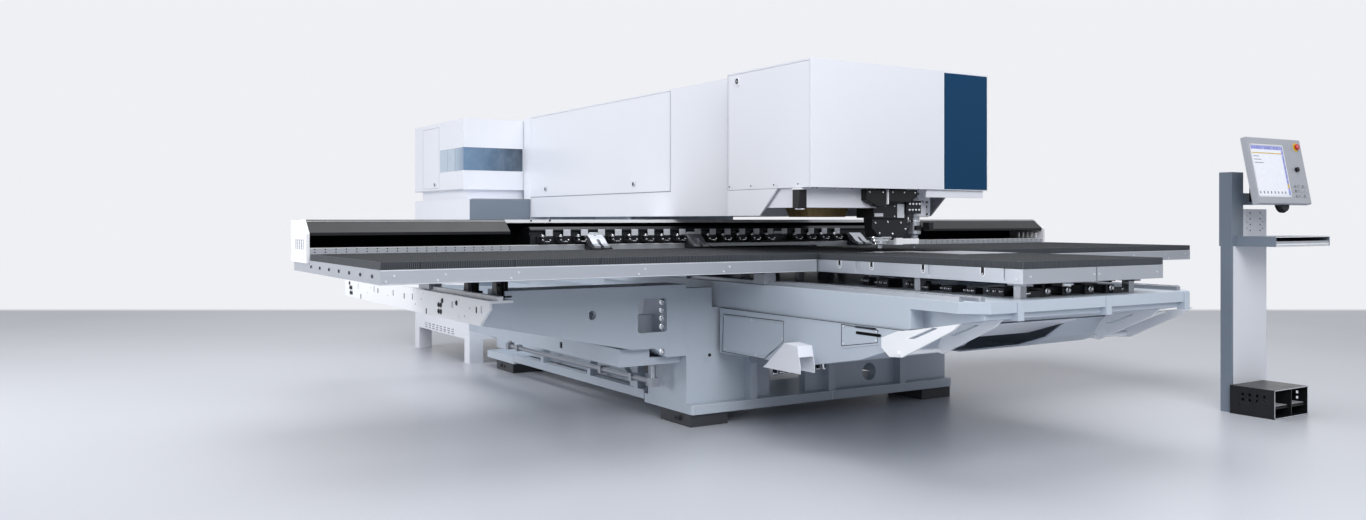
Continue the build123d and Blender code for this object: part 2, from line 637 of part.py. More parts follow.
# Centre table frame: rail walls with U notches, cross ribs, a framed tool bay and a framed flap bay
NOTCH_YS = (-3502, -2984, -2398)
NOTCH_RADIUS = 16
NOTCH_DEPTH = 46
RIB_YS = (-3100, -1500, -1000, -500)
with BuildPart() as centre_table_frame:
    centre_z = (TABLE_BOTTOM, TABLE_RAIL_TOP)
    frame_of((-CENTRE_HALF_X, CENTRE_HALF_X), CENTRE_Y, centre_z, TABLE_WALL)
    for rib_y in RIB_YS:
        rib_x = (-CENTRE_HALF_X + TABLE_WALL, CENTRE_HALF_X - TABLE_WALL)
        block(rib_x, (rib_y - 15, rib_y + 15), (TABLE_BOTTOM + 20, TABLE_RAIL_TOP))
    for edge_y in (TOOL_BAY_Y[0] - 10, TOOL_BAY_Y[1] - 10):
        rib_x = (-CENTRE_HALF_X + TABLE_WALL, CENTRE_HALF_X - TABLE_WALL)
        block(rib_x, (edge_y, edge_y + 20), centre_z)
    block((FLAP_X[0] - 35, FLAP_X[0] - 15), (FLAP_Y[0] - 35, TOOL_BAY_Y[0] - 10), centre_z)
    block((FLAP_X[0] - 35, CENTRE_HALF_X - TABLE_WALL), (FLAP_Y[0] - 35, FLAP_Y[0] - 15), centre_z)
    for wall_x in ((FLAP_X[0] - 35, FLAP_X[0] - 15), (CENTRE_HALF_X - TABLE_WALL, CENTRE_HALF_X)):
        hole_x(FLAP_AXIS[0], FLAP_AXIS[1], wall_x, FLAP_SHAFT_RADIUS + RUNNING_FIT)
    for notch_y in NOTCH_YS:
        for wall_x in ((-CENTRE_HALF_X, -CENTRE_HALF_X + 6), (CENTRE_HALF_X - 6, CENTRE_HALF_X)):
            notch_z = (TABLE_RAIL_TOP - NOTCH_DEPTH, TABLE_RAIL_TOP)
            block(wall_x, (notch_y - NOTCH_RADIUS, notch_y + NOTCH_RADIUS), notch_z, mode=Mode.SUBTRACT)
            hole_x(notch_y, notch_z[0], wall_x, NOTCH_RADIUS)
centre_table_frame.part.label = "centre_table_frame"
export_step(centre_table_frame.part, "parts/centre_table_frame.step")

# Posts between the bed and the centre table, square tubes with short head bars at the front
POST_XS = (-430, 430)
POST_YS = (-3480, -2780, -1700, -1100, -300)
POST_WIDTH = 44
HEAD_BAR = (50, 120, 16)
with BuildPart() as table_posts:
    post_centre_z = (BED_TOP + TABLE_BOTTOM) / 2
    post_centres = [(post_x, post_y, post_centre_z) for post_x in POST_XS for post_y in POST_YS]
    blocks(post_centres, (POST_WIDTH, POST_WIDTH, TABLE_BOTTOM - BED_TOP))
    blocks([(post_x, POST_YS[0], TABLE_BOTTOM - HEAD_BAR[2] / 2) for post_x in POST_XS], HEAD_BAR)
table_posts.part.label = "table_posts"
export_step(table_posts.part, "parts/table_posts.step")

# Brush strips of the centre table, with the tool bay and the flap bay left open
with BuildPart() as centre_brushes:
    brush_z = (TABLE_RAIL_TOP, TABLE_TOP)
    block((-CENTRE_HALF_X, CENTRE_HALF_X), CENTRE_Y, brush_z)
    module = (CENTRE_Y[1] - CENTRE_Y[0]) / 8
    for index in range(1, 8):
        gap_y = CENTRE_Y[0] + index * module
        gap = (gap_y - BRUSH_GAP / 2, gap_y + BRUSH_GAP / 2)
        block((-CENTRE_HALF_X, CENTRE_HALF_X), gap, (GAP_BOTTOM, TABLE_TOP), mode=Mode.SUBTRACT)
    block((-BRUSH_GAP / 2, BRUSH_GAP / 2), CENTRE_Y, (GAP_BOTTOM, TABLE_TOP), mode=Mode.SUBTRACT)
    block(TOOL_BAY_X, TOOL_BAY_Y, brush_z, mode=Mode.SUBTRACT)
    block((FLAP_X[0] - 5, FLAP_X[1] + 5), (FLAP_Y[0] - 5, FLAP_Y[1] + 5), brush_z, mode=Mode.SUBTRACT)
centre_brushes.part.label = "centre_brushes"
export_step(centre_brushes.part, "parts/centre_brushes.step")

# Parts flap: a plate of the centre table that tips down about its rear edge over the bed's well
FLAP_THICKNESS = 30
with BuildPart() as parts_flap:
    flap_outline = [
        (FLAP_Y[0], TABLE_TOP),
        (FLAP_Y[0], TABLE_TOP - FLAP_THICKNESS),
        (FLAP_Y[1], TABLE_TOP - FLAP_THICKNESS),
        (FLAP_Y[1], TABLE_TOP),
    ]
    along_x(flap_outline, FLAP_X)
    for rib_x in (FLAP_X[0] + 20, FLAP_X[1] - 32):
        flap_rib = [(-2600, 1066), (-2560, 1040), (-2240, 1030), (-2170, 1026), (-2170, 1066)]
        along_x(flap_rib, (rib_x, rib_x + 12))
    shaft_x = (FLAP_X[0] - 30, FLAP_X[1] + 30)
    hole_x(FLAP_AXIS[0], FLAP_AXIS[1], shaft_x, FLAP_SHAFT_RADIUS, mode=Mode.ADD)
parts_flap.part.label = "parts_flap"
export_step(parts_flap.part, "parts/parts_flap.step")

# Lower die: the die seat and die under the punch, on the steel plate that fills the tool bay
DIE_RADIUS = 45
DIE_BORE = 19
NOZZLE_BORE = 30
with BuildPart() as lower_die:
    bay_x = (TOOL_BAY_X[0] + 2, TOOL_BAY_X[1] - 2)
    bay_y = (TOOL_BAY_Y[0] + 2, TOOL_BAY_Y[1] - 2)
    block(bay_x, bay_y, (TABLE_RAIL_TOP, TABLE_TOP - 8))
    hole_z(0, HEAD_Y, (TABLE_TOP - 8, TABLE_TOP - 2), DIE_RADIUS, mode=Mode.ADD)
    hole_z(0, HEAD_Y, (BED_TOP, TABLE_RAIL_TOP), 95, mode=Mode.ADD)
    hole_z(0, HEAD_Y, (BED_TOP, TABLE_TOP), DIE_BORE)
    hole_z(LASER_X, HEAD_Y, (BED_TOP, TABLE_TOP), NOZZLE_BORE)
lower_die.part.label = "lower_die"
export_step(lower_die.part, "parts/lower_die.step")

# Side table frames: rail walls, cross ribs and carrying strips above the outrigger and the bed rail
SIDE_RIB_YS = (-1560, -1080, -660)
STRIP_XS = ((2354, 2484), (813, 897))
STRIP_REAR_Y = -210
with BuildPart() as side_table_frames:
    frame_of(SIDE_TABLE_X, SIDE_TABLE_Y, (TABLE_BOTTOM, TABLE_RAIL_TOP), TABLE_WALL)
    inner_span = (SIDE_TABLE_X[0] + TABLE_WALL, SIDE_TABLE_X[1] - TABLE_WALL)
    for rib_y in SIDE_RIB_YS:
        block(inner_span, (rib_y - 15, rib_y + 15), (TABLE_BOTTOM + 20, TABLE_RAIL_TOP))
    block(inner_span, (GUIDE_Y[0], GUIDE_Y[0] + 60), (TABLE_BOTTOM, TABLE_RAIL_TOP))
    for strip_x in STRIP_XS:
        strip_y = (SIDE_TABLE_Y[0] + TABLE_WALL, STRIP_REAR_Y)
        block(strip_x, strip_y, (TABLE_BOTTOM, TABLE_BOTTOM + 20))
    mirror(about=Plane.YZ)
side_table_frames.part.label = "side_table_frames"
export_step(side_table_frames.part, "parts/side_table_frames.step")

# Side brushes: one field of strips on each side table, parted into modules
with BuildPart() as side_brushes:
    for side in (-1, 1):
        field_x = SIDE_TABLE_X if side > 0 else flip(SIDE_TABLE_X)
        field_y = (SIDE_TABLE_Y[0], SIDE_BRUSH_REAR_Y)
        block(field_x, field_y, (TABLE_RAIL_TOP, TABLE_TOP))
        for index in range(1, 6):
            gap_x = side * (BRUSH_START_X + index * BRUSH_PITCH)
            gap = (gap_x - BRUSH_GAP / 2, gap_x + BRUSH_GAP / 2)
            block(gap, field_y, (GAP_BOTTOM, TABLE_TOP), mode=Mode.SUBTRACT)
        for index in (1, 2):
            gap_y = field_y[0] + index * (field_y[1] - field_y[0]) / 3
            gap = (gap_y - BRUSH_GAP / 2, gap_y + BRUSH_GAP / 2)
            block(field_x, gap, (GAP_BOTTOM, TABLE_TOP), mode=Mode.SUBTRACT)
side_brushes.part.label = "side_brushes"
export_step(side_brushes.part, "parts/side_brushes.step")

# Carriages: runner blocks on the outriggers' rails and on the bed's outer rails, under the tables
OUTER_CARRIAGE_Y = (-500, -300)
INNER_CARRIAGE_YS = (-1900, -1020, -400)
RUNNER_PLAY = 1
with BuildPart() as carriages:
    for side in (-1, 1):
        for axis_x, spans in (
            (side * (OUTRIGGER_X - 65), [OUTER_CARRIAGE_Y]),
            (side * BED_RAIL_XS[1], [(y - 55, y + 55) for y in INNER_CARRIAGE_YS]),
        ):
            rail_low = OUTRIGGER_Z[1] if abs(axis_x) > BASE_HALF_X else BED_TOP
            rail_high = rail_low + RAIL_TOP - BED_TOP
            for span in spans:
                half = 15 + RUNNER_PLAY
                runner = [
                    (axis_x - 42, rail_low + 4),
                    (axis_x - half, rail_low + 4),
                    (axis_x - half, rail_high + RUNNER_PLAY),
                    (axis_x + half, rail_high + RUNNER_PLAY),
                    (axis_x + half, rail_low + 4),
                    (axis_x + 42, rail_low + 4),
                    (axis_x + 42, TABLE_BOTTOM - 14),
                    (axis_x + 26, TABLE_BOTTOM),
                    (axis_x - 26, TABLE_BOTTOM),
                    (axis_x - 42, TABLE_BOTTOM - 14),
                ]
                along_y(runner, span)
carriages.part.label = "carriages"
export_step(carriages.part, "parts/carriages.step")

# Support rollers: fixed forks with rollers on the outriggers, which carry the tables' outer strips
ROLLER_YS = (-930, -1380)
ROLLER_RADIUS = 34
ROLLER_X = (2363, 2377)
FORK = 7
ROLLER_SIDE_GAP = 0.5
with BuildPart() as support_rollers:
    for side in (-1, 1):
        for roller_y in ROLLER_YS:
            roller_z = TABLE_BOTTOM - 0.5 - ROLLER_RADIUS
            spread = ROLLER_X if side > 0 else flip(ROLLER_X)
            near = (spread[0] - ROLLER_SIDE_GAP - FORK, spread[0] - ROLLER_SIDE_GAP)
            far = (spread[1] + ROLLER_SIDE_GAP, spread[1] + ROLLER_SIDE_GAP + FORK)
            for fork_x in (near, far):
                fork = [
                    (roller_y - 45, OUTRIGGER_Z[1]),
                    (roller_y + 45, OUTRIGGER_Z[1]),
                    (roller_y + 22, roller_z + 22),
                    (roller_y - 22, roller_z + 22),
                ]
                along_x(fork, fork_x)
            pin_x = (near[0], far[1])
            hole_x(roller_y, roller_z, pin_x, 8, mode=Mode.ADD)
            hole_x(roller_y, roller_z, spread, ROLLER_RADIUS, mode=Mode.ADD)
support_rollers.part.label = "support_rollers"
export_step(support_rollers.part, "parts/support_rollers.step")

# Guide base: the lower flange of the coordinate guide, on long feet along its front and rear edges
SLOT_LOW = 1131
GUIDE_FOOT = 60
FOOT_START_X = SIDE_TABLE_X[0] + 40
with BuildPart() as guide_base:
    block((-GUIDE_HALF_X, GUIDE_HALF_X), GUIDE_Y, (GUIDE_BOTTOM, SLOT_LOW))
    for side in (-1, 1):
        foot_x = on_side(side, (FOOT_START_X, GUIDE_HALF_X))
        block(foot_x, (GUIDE_Y[0], GUIDE_Y[0] + GUIDE_FOOT), (TABLE_RAIL_TOP, GUIDE_BOTTOM))
        block(foot_x, (GUIDE_Y[1] - GUIDE_FOOT, GUIDE_Y[1]), (TABLE_RAIL_TOP, GUIDE_BOTTOM))
guide_base.part.label = "guide_base"
export_step(guide_base.part, "parts/guide_base.step")

# Guide beam: the rear wall and top flange that make a channel open to the front, with slotted end plates
SHELF_Y = -470
END_PLATE_BOTTOM = 1040
END_PLATE_FRONT_Z = 1215
END_PLATE_SLOT_YS = (-520, -470, -420, -370, -320)
END_PLATE_SLOT_Z = (1120, 1180)
with BuildPart() as guide_beam:
    channel = [
        (GUIDE_Y[1] - GUIDE_WALL, SLOT_LOW),
        (GUIDE_Y[1], SLOT_LOW),
        (GUIDE_Y[1], GUIDE_TOP),
        (SHELF_Y, GUIDE_TOP),
        (SHELF_Y, GUIDE_TOP - GUIDE_WALL),
        (GUIDE_Y[1] - GUIDE_WALL, GUIDE_TOP - GUIDE_WALL),
    ]
    along_x(channel, (-GUIDE_HALF_X, GUIDE_HALF_X))
    for side in (-1, 1):
        plate_x = on_side(side, (GUIDE_HALF_X, GUIDE_HALF_X + END_PLATE))
        end_outline = [
            (GUIDE_Y[0] - 4, END_PLATE_BOTTOM),
            (GUIDE_Y[1] + 4, END_PLATE_BOTTOM),
            (GUIDE_Y[1] + 4, GUIDE_TOP),
            (SHELF_Y - 30, GUIDE_TOP),
            (GUIDE_Y[0] - 4, END_PLATE_FRONT_Z),
        ]
        along_x(end_outline, plate_x)
        slot_z = (END_PLATE_SLOT_Z[0] + END_PLATE_SLOT_Z[1]) / 2
        slot_centres = [((plate_x[0] + plate_x[1]) / 2, slot_y, slot_z) for slot_y in END_PLATE_SLOT_YS]
        slot_size = (END_PLATE, 18, END_PLATE_SLOT_Z[1] - END_PLATE_SLOT_Z[0])
        blocks(slot_centres, slot_size, mode=Mode.SUBTRACT)
guide_beam.part.label = "guide_beam"
export_step(guide_beam.part, "parts/guide_beam.step")

# Guide covers: sloping panels over the ends of the channel, with a folded lip above the slot
COVER_LIP_Z = (1204, 1222)
with BuildPart() as guide_covers:
    for cover_x in ((-GUIDE_HALF_X, COVER_INNER_X[0]), (COVER_INNER_X[1], GUIDE_HALF_X)):
        cover_outline = [
            (SHELF_Y, GUIDE_TOP),
            (SHELF_Y - 14, GUIDE_TOP),
            (GUIDE_Y[0] + 14, COVER_LIP_Z[1]),
            (GUIDE_Y[0] + 14, COVER_LIP_Z[0]),
            (GUIDE_Y[0] + 22, COVER_LIP_Z[0]),
            (GUIDE_Y[0] + 22, COVER_LIP_Z[1] - 3),
            (SHELF_Y - 8, GUIDE_TOP - 9),
            (SHELF_Y, GUIDE_TOP - 9),
        ]
        along_x(cover_outline, cover_x)
guide_covers.part.label = "guide_covers"
export_step(guide_covers.part, "parts/guide_covers.step")

# Transverse rail: the slide inside the channel, grooved along its front face
with BuildPart() as transverse_rail:
    slide_outline = [
        (-540, 1136),
        (-240, 1136),
        (-240, 1180),
        (-300, 1200),
        (-440, 1250),
        (-520, 1250),
        (-540, 1232),
        (-540, 1222),
        (-522, 1216),
        (-522, 1196),
        (-540, 1190),
    ]
    along_x(slide_outline, SLIDE_X)
transverse_rail.part.label = "transverse_rail"
export_step(transverse_rail.part, "parts/transverse_rail.step")

# Tool holders: a row of gripper stations on the transverse rail, each with a forked jaw and a hexagonal stud
STATION_SKIP = (3, 9, 15)
STATION_FACE_Y = -540
STATION_GRIP_Y = -566
JAW_Z = (1146, 1160)
STUD_TOP = 1184
STUD_RADIUS = 13
with BuildPart() as station:
    block((-26, 26), (STATION_GRIP_Y, STATION_FACE_Y), (1140, 1186))
    jaw = [(-36, -640), (-22, -640), (-18, -600), (18, -600), (22, -640), (36, -640)]
    jaw += [(26, STATION_GRIP_Y), (-26, STATION_GRIP_Y)]
    along_z(jaw, JAW_Z)
    with BuildSketch(Plane.XY.offset(JAW_Z[1])):
        with Locations((0, -583)):
            RegularPolygon(STUD_RADIUS, 6)
    extrude(amount=STUD_TOP - JAW_Z[1])

with BuildPart() as tool_holders:
    stations = [index for index in range(STATION_COUNT) if index not in STATION_SKIP]
    with Locations(*[(STATION_FIRST_X + index * STATION_PITCH, 0, 0) for index in stations]):
        add(station.part)
tool_holders.part.label = "tool_holders"
export_step(tool_holders.part, "parts/tool_holders.step")

# Clamp bodies: forked cheeks that reach over the guide's front edge and hold the lower jaws
CLAMP_HALF_X = 76
CHEEK = 18
LOWER_JAW_Z = (1099, 1104)
CLAMP_TIP_Y = -720
CLAMP_PIN_RADIUS = 6
with BuildPart() as clamp_bodies:
    for clamp_x in CLAMP_XS:
        cheek_outline = [
            (-540, 1136),
            (-540, 1186),
            (-575, 1192),
            (-604, 1184),
            (-632, 1140),
            (CLAMP_TIP_Y, 1108),
            (CLAMP_TIP_Y, LOWER_JAW_Z[0]),
            (-604, LOWER_JAW_Z[0]),
            (-604, 1136),
        ]
        for cheek_x in (clamp_x - CLAMP_HALF_X, clamp_x + CLAMP_HALF_X - CHEEK):
            along_x(cheek_outline, (cheek_x, cheek_x + CHEEK))
        span = (clamp_x - CLAMP_HALF_X, clamp_x + CLAMP_HALF_X)
        block(span, (CLAMP_TIP_Y, -650), LOWER_JAW_Z)
        block(span, (-556, -540), (1136, 1186))
        hole_x(CLAMP_AXIS[0], CLAMP_AXIS[1], span, CLAMP_PIN_RADIUS, mode=Mode.ADD)
clamp_bodies.part.label = "clamp_bodies"
export_step(clamp_bodies.part, "parts/clamp_bodies.step")

# Clamp jaws: upper claws on the pins, which all open together
JAW_GAP = 0.5
JAW_OUTLINE = [
    (-566, 1150),
    (-566, 1184),
    (-600, 1196),
    (-640, 1170),
    (-680, 1136),
    (-716, 1122),
    (-716, 1107),
    (-676, 1107),
    (-640, 1138),
    (-606, 1150),
]
with BuildPart() as clamp_jaws:
    for clamp_x in CLAMP_XS:
        half = CLAMP_HALF_X - CHEEK - JAW_GAP
        along_x(JAW_OUTLINE, (clamp_x - half, clamp_x + half))
        block((clamp_x - 12, clamp_x + 12), (-720, -646), (1100, 1200), mode=Mode.SUBTRACT)
        bore_x = (clamp_x - half, clamp_x + half)
        hole_x(CLAMP_AXIS[0], CLAMP_AXIS[1], bore_x, CLAMP_PIN_RADIUS + RUNNING_FIT)
clamp_jaws.part.label = "clamp_jaws"
export_step(clamp_jaws.part, "parts/clamp_jaws.step")

# Punching head: the black housing under the arm, with its guide neck bored for the ram
RAM_RADIUS = 36
RAM_BOTTOM = 1116
RAM_TOP = 1480
NECK_BOTTOM = 1187
HEAD_Z = (1310, THROAT_TOP)
with BuildPart() as punch_head:
    block((-118, 139), (HEAD_Y - 85, HEAD_Y + 90), HEAD_Z)
    neck = [(-85, HEAD_Z[0]), (-67, NECK_BOTTOM), (88, NECK_BOTTOM)]
    neck += [(104, NECK_BOTTOM + 50), (104, HEAD_Z[0])]
    along_y(neck, (HEAD_Y - 62, HEAD_Y + 62))
    block((139, 176), (HEAD_Y - 70, HEAD_Y - 20), (NECK_BOTTOM + 60, HEAD_Z[0] + 40))
    hole_z(0, HEAD_Y, (NECK_BOTTOM, THROAT_TOP), RAM_RADIUS + RUNNING_FIT)
punch_head.part.label = "punch_head"
export_step(punch_head.part, "parts/punch_head.step")

# Ram with the punch: turned, stepped down to the tool's tip, free to strike into the die
PUNCH_RADIUS = 14
with BuildPart() as punch_ram:
    with BuildSketch(Plane.XZ.offset(-HEAD_Y)):
        with BuildLine():
            Polyline(
                (0, RAM_BOTTOM),
                (PUNCH_RADIUS, RAM_BOTTOM),
                (PUNCH_RADIUS, RAM_BOTTOM + 22),
                (30, RAM_BOTTOM + 34),
                (30, NECK_BOTTOM - 12),
                (RAM_RADIUS, NECK_BOTTOM - 6),
                (RAM_RADIUS, RAM_TOP),
                (0, RAM_TOP),
                close=True,
            )
        make_face()
    revolve(axis=Axis((0, HEAD_Y, 0), (0, 0, 1)))
punch_ram.part.label = "punch_ram"
export_step(punch_ram.part, "parts/punch_ram.step")

# Laser bracket: the drilled plate that hangs from the arm, and the slide block with the laser's bore
LASER_RADIUS = 35
BRACKET_Y = (HEAD_Y + 45, HEAD_Y + 60)
BRACKET_HOLES = ((420, 1350), (420, 1420), (455, 1385))
SLIDE_BLOCK_Z = (1320, 1400)
with BuildPart() as laser_bracket:
    plate = [(200, THROAT_TOP), (487, THROAT_TOP), (487, 1330), (470, 1315), (215, 1315), (200, 1330)]
    along_y(plate, BRACKET_Y)
    for hole_at in BRACKET_HOLES:
        hole_y(hole_at[0], hole_at[1], BRACKET_Y, 8)
    block((LASER_X - 52, LASER_X + 52), (HEAD_Y - 52, BRACKET_Y[0]), SLIDE_BLOCK_Z)
    hole_z(LASER_X, HEAD_Y, SLIDE_BLOCK_Z, LASER_RADIUS + RUNNING_FIT)
laser_bracket.part.label = "laser_bracket"
export_step(laser_bracket.part, "parts/laser_bracket.step")

# Laser head: cutting head body, collar and cone nozzle, sliding in the bracket
NOZZLE_TIP = 1112
LASER_COLLAR_Z = (1206, 1226)
LASER_TOP = 1440
with BuildPart() as laser_head:
    with BuildSketch(Plane.XZ.offset(-HEAD_Y)):
        with BuildLine():
            Polyline(
                (LASER_X, NOZZLE_TIP),
                (LASER_X + 5, NOZZLE_TIP),
                (LASER_X + 9, NOZZLE_TIP + 14),
                (LASER_X + 22, NOZZLE_TIP + 26),
                (LASER_X + 26, LASER_COLLAR_Z[0] - 10),
                (LASER_X + 42, LASER_COLLAR_Z[0]),
                (LASER_X + 42, LASER_COLLAR_Z[1]),
                (LASER_X + LASER_RADIUS, LASER_COLLAR_Z[1] + 4),
                (LASER_X + LASER_RADIUS, LASER_TOP),
                (LASER_X, LASER_TOP),
                close=True,
            )
        make_face()
    revolve(axis=Axis((LASER_X, HEAD_Y, 0), (0, 0, 1)))
laser_head.part.label = "laser_head"
export_step(laser_head.part, "parts/laser_head.step")

# Head skirt: the grey lower housing and the slanted skirts, all under the hood
HOUSING_X = (-719, -140)
HOUSING_Y = (-2100, -1640)
HOUSING_Z = (1372, THROAT_TOP)
with BuildPart() as head_skirt:
    block(HOUSING_X, HOUSING_Y, HOUSING_Z)
    housing_inside = (HOUSING_X[0] + SKIN, HOUSING_X[1] - SKIN)
    inside_y = (HOUSING_Y[0] + SKIN, HOUSING_Y[1] - SKIN)
    block(housing_inside, inside_y, (HOUSING_Z[0] + SKIN, HOUSING_Z[1]), mode=Mode.SUBTRACT)
    left_post = (HOUSING_X[0] - 8, HOUSING_Y[0] + 20)
    hole_z(left_post[0], left_post[1], (HOUSING_Z[0] - 12, HOOD_BOTTOM), 30, mode=Mode.ADD)
    slant = [
        (HOOD_Y[1], HOOD_BOTTOM),
        (HOOD_Y[1], SKIRT_BOTTOM),
        (-1690, SKIRT_BOTTOM),
        (-1872, HOOD_BOTTOM),
    ]
    for side in (-1, 1):
        cheek_x = (HOOD_HALF_X - SKIN, HOOD_HALF_X)
        return_x = (COVER_HALF_X - SKIN, HOOD_HALF_X)
        along_x(slant, cheek_x if side > 0 else flip(cheek_x))
        return_y = (HOOD_Y[1] - SKIN, HOOD_Y[1])
        block(return_x if side > 0 else flip(return_x), return_y, (SKIRT_BOTTOM, HOOD_BOTTOM))
    block((200, 711), (HOOD_Y[0] + SKIN, HOOD_Y[0] + 2 * SKIN), (1441, HOOD_BOTTOM + 40))
head_skirt.part.label = "head_skirt"
export_step(head_skirt.part, "parts/head_skirt.step")

# Press drive housing: the bronze box that hangs below the grey housing
DRIVE_BOTTOM = 1316
with BuildPart() as drive_housing:
    drive = [(-500, HOUSING_Z[0]), (-470, DRIVE_BOTTOM), (-180, DRIVE_BOTTOM), (-150, HOUSING_Z[0])]
    along_y(drive, (-1850, HOUSING_Y[1]))
drive_housing.part.label = "drive_housing"
export_step(drive_housing.part, "parts/drive_housing.step")

# Head hood: folded shell open below and on the left, where its door hangs, with a cut-out behind for the arm
with BuildPart() as head_hood:
    block((-HOOD_HALF_X, HOOD_HALF_X), HOOD_Y, (HOOD_BOTTOM, HOOD_TOP))
    hood_x = (-HOOD_HALF_X, HOOD_HALF_X - SKIN)
    hood_y = (HOOD_Y[0] + SKIN, HOOD_Y[1] - SKIN)
    hood_z = (HOOD_BOTTOM, HOOD_TOP - SKIN)
    block(hood_x, hood_y, hood_z, mode=Mode.SUBTRACT)
    arm_gap = (-COVER_HALF_X + SKIN, COVER_HALF_X - SKIN)
    block(arm_gap, (HOOD_Y[1] - SKIN, HOOD_Y[1]), hood_z, mode=Mode.SUBTRACT)
    block((BLUE_X, HOOD_HALF_X), (HOOD_Y[0], HOOD_Y[0] + SKIN), hood_z, mode=Mode.SUBTRACT)
    blue_side = (HOOD_HALF_X - SKIN, HOOD_HALF_X)
    block(blue_side, (HOOD_Y[0], HOOD_Y[0] + BLUE_WRAP), hood_z, mode=Mode.SUBTRACT)
head_hood.part.label = "head_hood"
export_step(head_hood.part, "parts/head_hood.step")

# Blue corner cover: the folded front right corner of the hood
with BuildPart() as head_hood_blue:
    corner = [
        (BLUE_X, HOOD_Y[0]),
        (HOOD_HALF_X, HOOD_Y[0]),
        (HOOD_HALF_X, HOOD_Y[0] + BLUE_WRAP),
        (HOOD_HALF_X - SKIN, HOOD_Y[0] + BLUE_WRAP),
        (HOOD_HALF_X - SKIN, HOOD_Y[0] + SKIN),
        (BLUE_X, HOOD_Y[0] + SKIN),
    ]
    along_z(corner, hood_z)
head_hood_blue.part.label = "head_hood_blue"
export_step(head_hood_blue.part, "parts/head_hood_blue.step")

# Hood door: the left face of the hood, hinged on its front edge, with a round lock
DOOR_GAP = 2
LOCK_PROUD = 4
HOOD_LOCK = (-1449, 2180)
HOOD_LOCK_RADIUS = 22
with BuildPart() as hood_door:
    door_y = (hood_y[0] + DOOR_GAP, hood_y[1] - DOOR_GAP)
    door_z = (HOOD_BOTTOM + DOOR_GAP, hood_z[1] - DOOR_GAP)
    block((-HOOD_HALF_X, -HOOD_HALF_X + SKIN), door_y, door_z)
    lock_x = (-HOOD_HALF_X - LOCK_PROUD, -HOOD_HALF_X)
    hole_x(HOOD_LOCK[0], HOOD_LOCK[1], lock_x, HOOD_LOCK_RADIUS, mode=Mode.ADD)
hood_door.part.label = "hood_door"
export_step(hood_door.part, "parts/hood_door.step")

# Frame cover: the long white shell over the C-frame, open where its two side flaps hang
with BuildPart() as frame_cover:
    block((-COVER_HALF_X, COVER_HALF_X), (HOOD_Y[1], COVER_REAR_Y), (SKIRT_BOTTOM, HOOD_TOP))
    cover_x = (-COVER_HALF_X + SKIN, COVER_HALF_X - SKIN)
    block(cover_x, (HOOD_Y[1], COVER_REAR_Y - SKIN), (SKIRT_BOTTOM, HOOD_TOP - SKIN), mode=Mode.SUBTRACT)
    panel_z = (FLAP_PANEL_BOTTOM, HOOD_TOP - SKIN)
    block((-COVER_HALF_X, COVER_HALF_X), FLAP_PANEL_Y, panel_z, mode=Mode.SUBTRACT)
    tail_y = (CABINET_LOWER_FRONT_Y - 20, COVER_REAR_Y)
    tail_z = (SKIRT_BOTTOM, CABINET_LOWER_Z[1] + 4)
    block((-COVER_HALF_X, COVER_HALF_X), tail_y, tail_z, mode=Mode.SUBTRACT)
frame_cover.part.label = "frame_cover"
export_step(frame_cover.part, "parts/frame_cover.step")

# Side flaps of the frame cover: long panels hinged along their top edge, each with two locks
FLAP_LOCKS = ((1733, 1573), (112, 1573))
FLAP_LOCK_RADIUS = 14
with BuildPart() as side_flap_left:
    panel_y = (FLAP_PANEL_Y[0] + DOOR_GAP, FLAP_PANEL_Y[1] - DOOR_GAP)
    block((-COVER_HALF_X, -COVER_HALF_X + SKIN), panel_y, (panel_z[0] + DOOR_GAP, panel_z[1] - DOOR_GAP))
    for lock in FLAP_LOCKS:
        lock_x = (-COVER_HALF_X - LOCK_PROUD, -COVER_HALF_X)
        hole_x(lock[0], lock[1], lock_x, FLAP_LOCK_RADIUS, mode=Mode.ADD)
side_flap_left.part.label = "side_flap_left"
export_step(side_flap_left.part, "parts/side_flap_left.step")

with BuildPart() as side_flap_right:
    mirror(side_flap_left.part, about=Plane.YZ)
side_flap_right.part.label = "side_flap_right"
export_step(side_flap_right.part, "parts/side_flap_right.step")

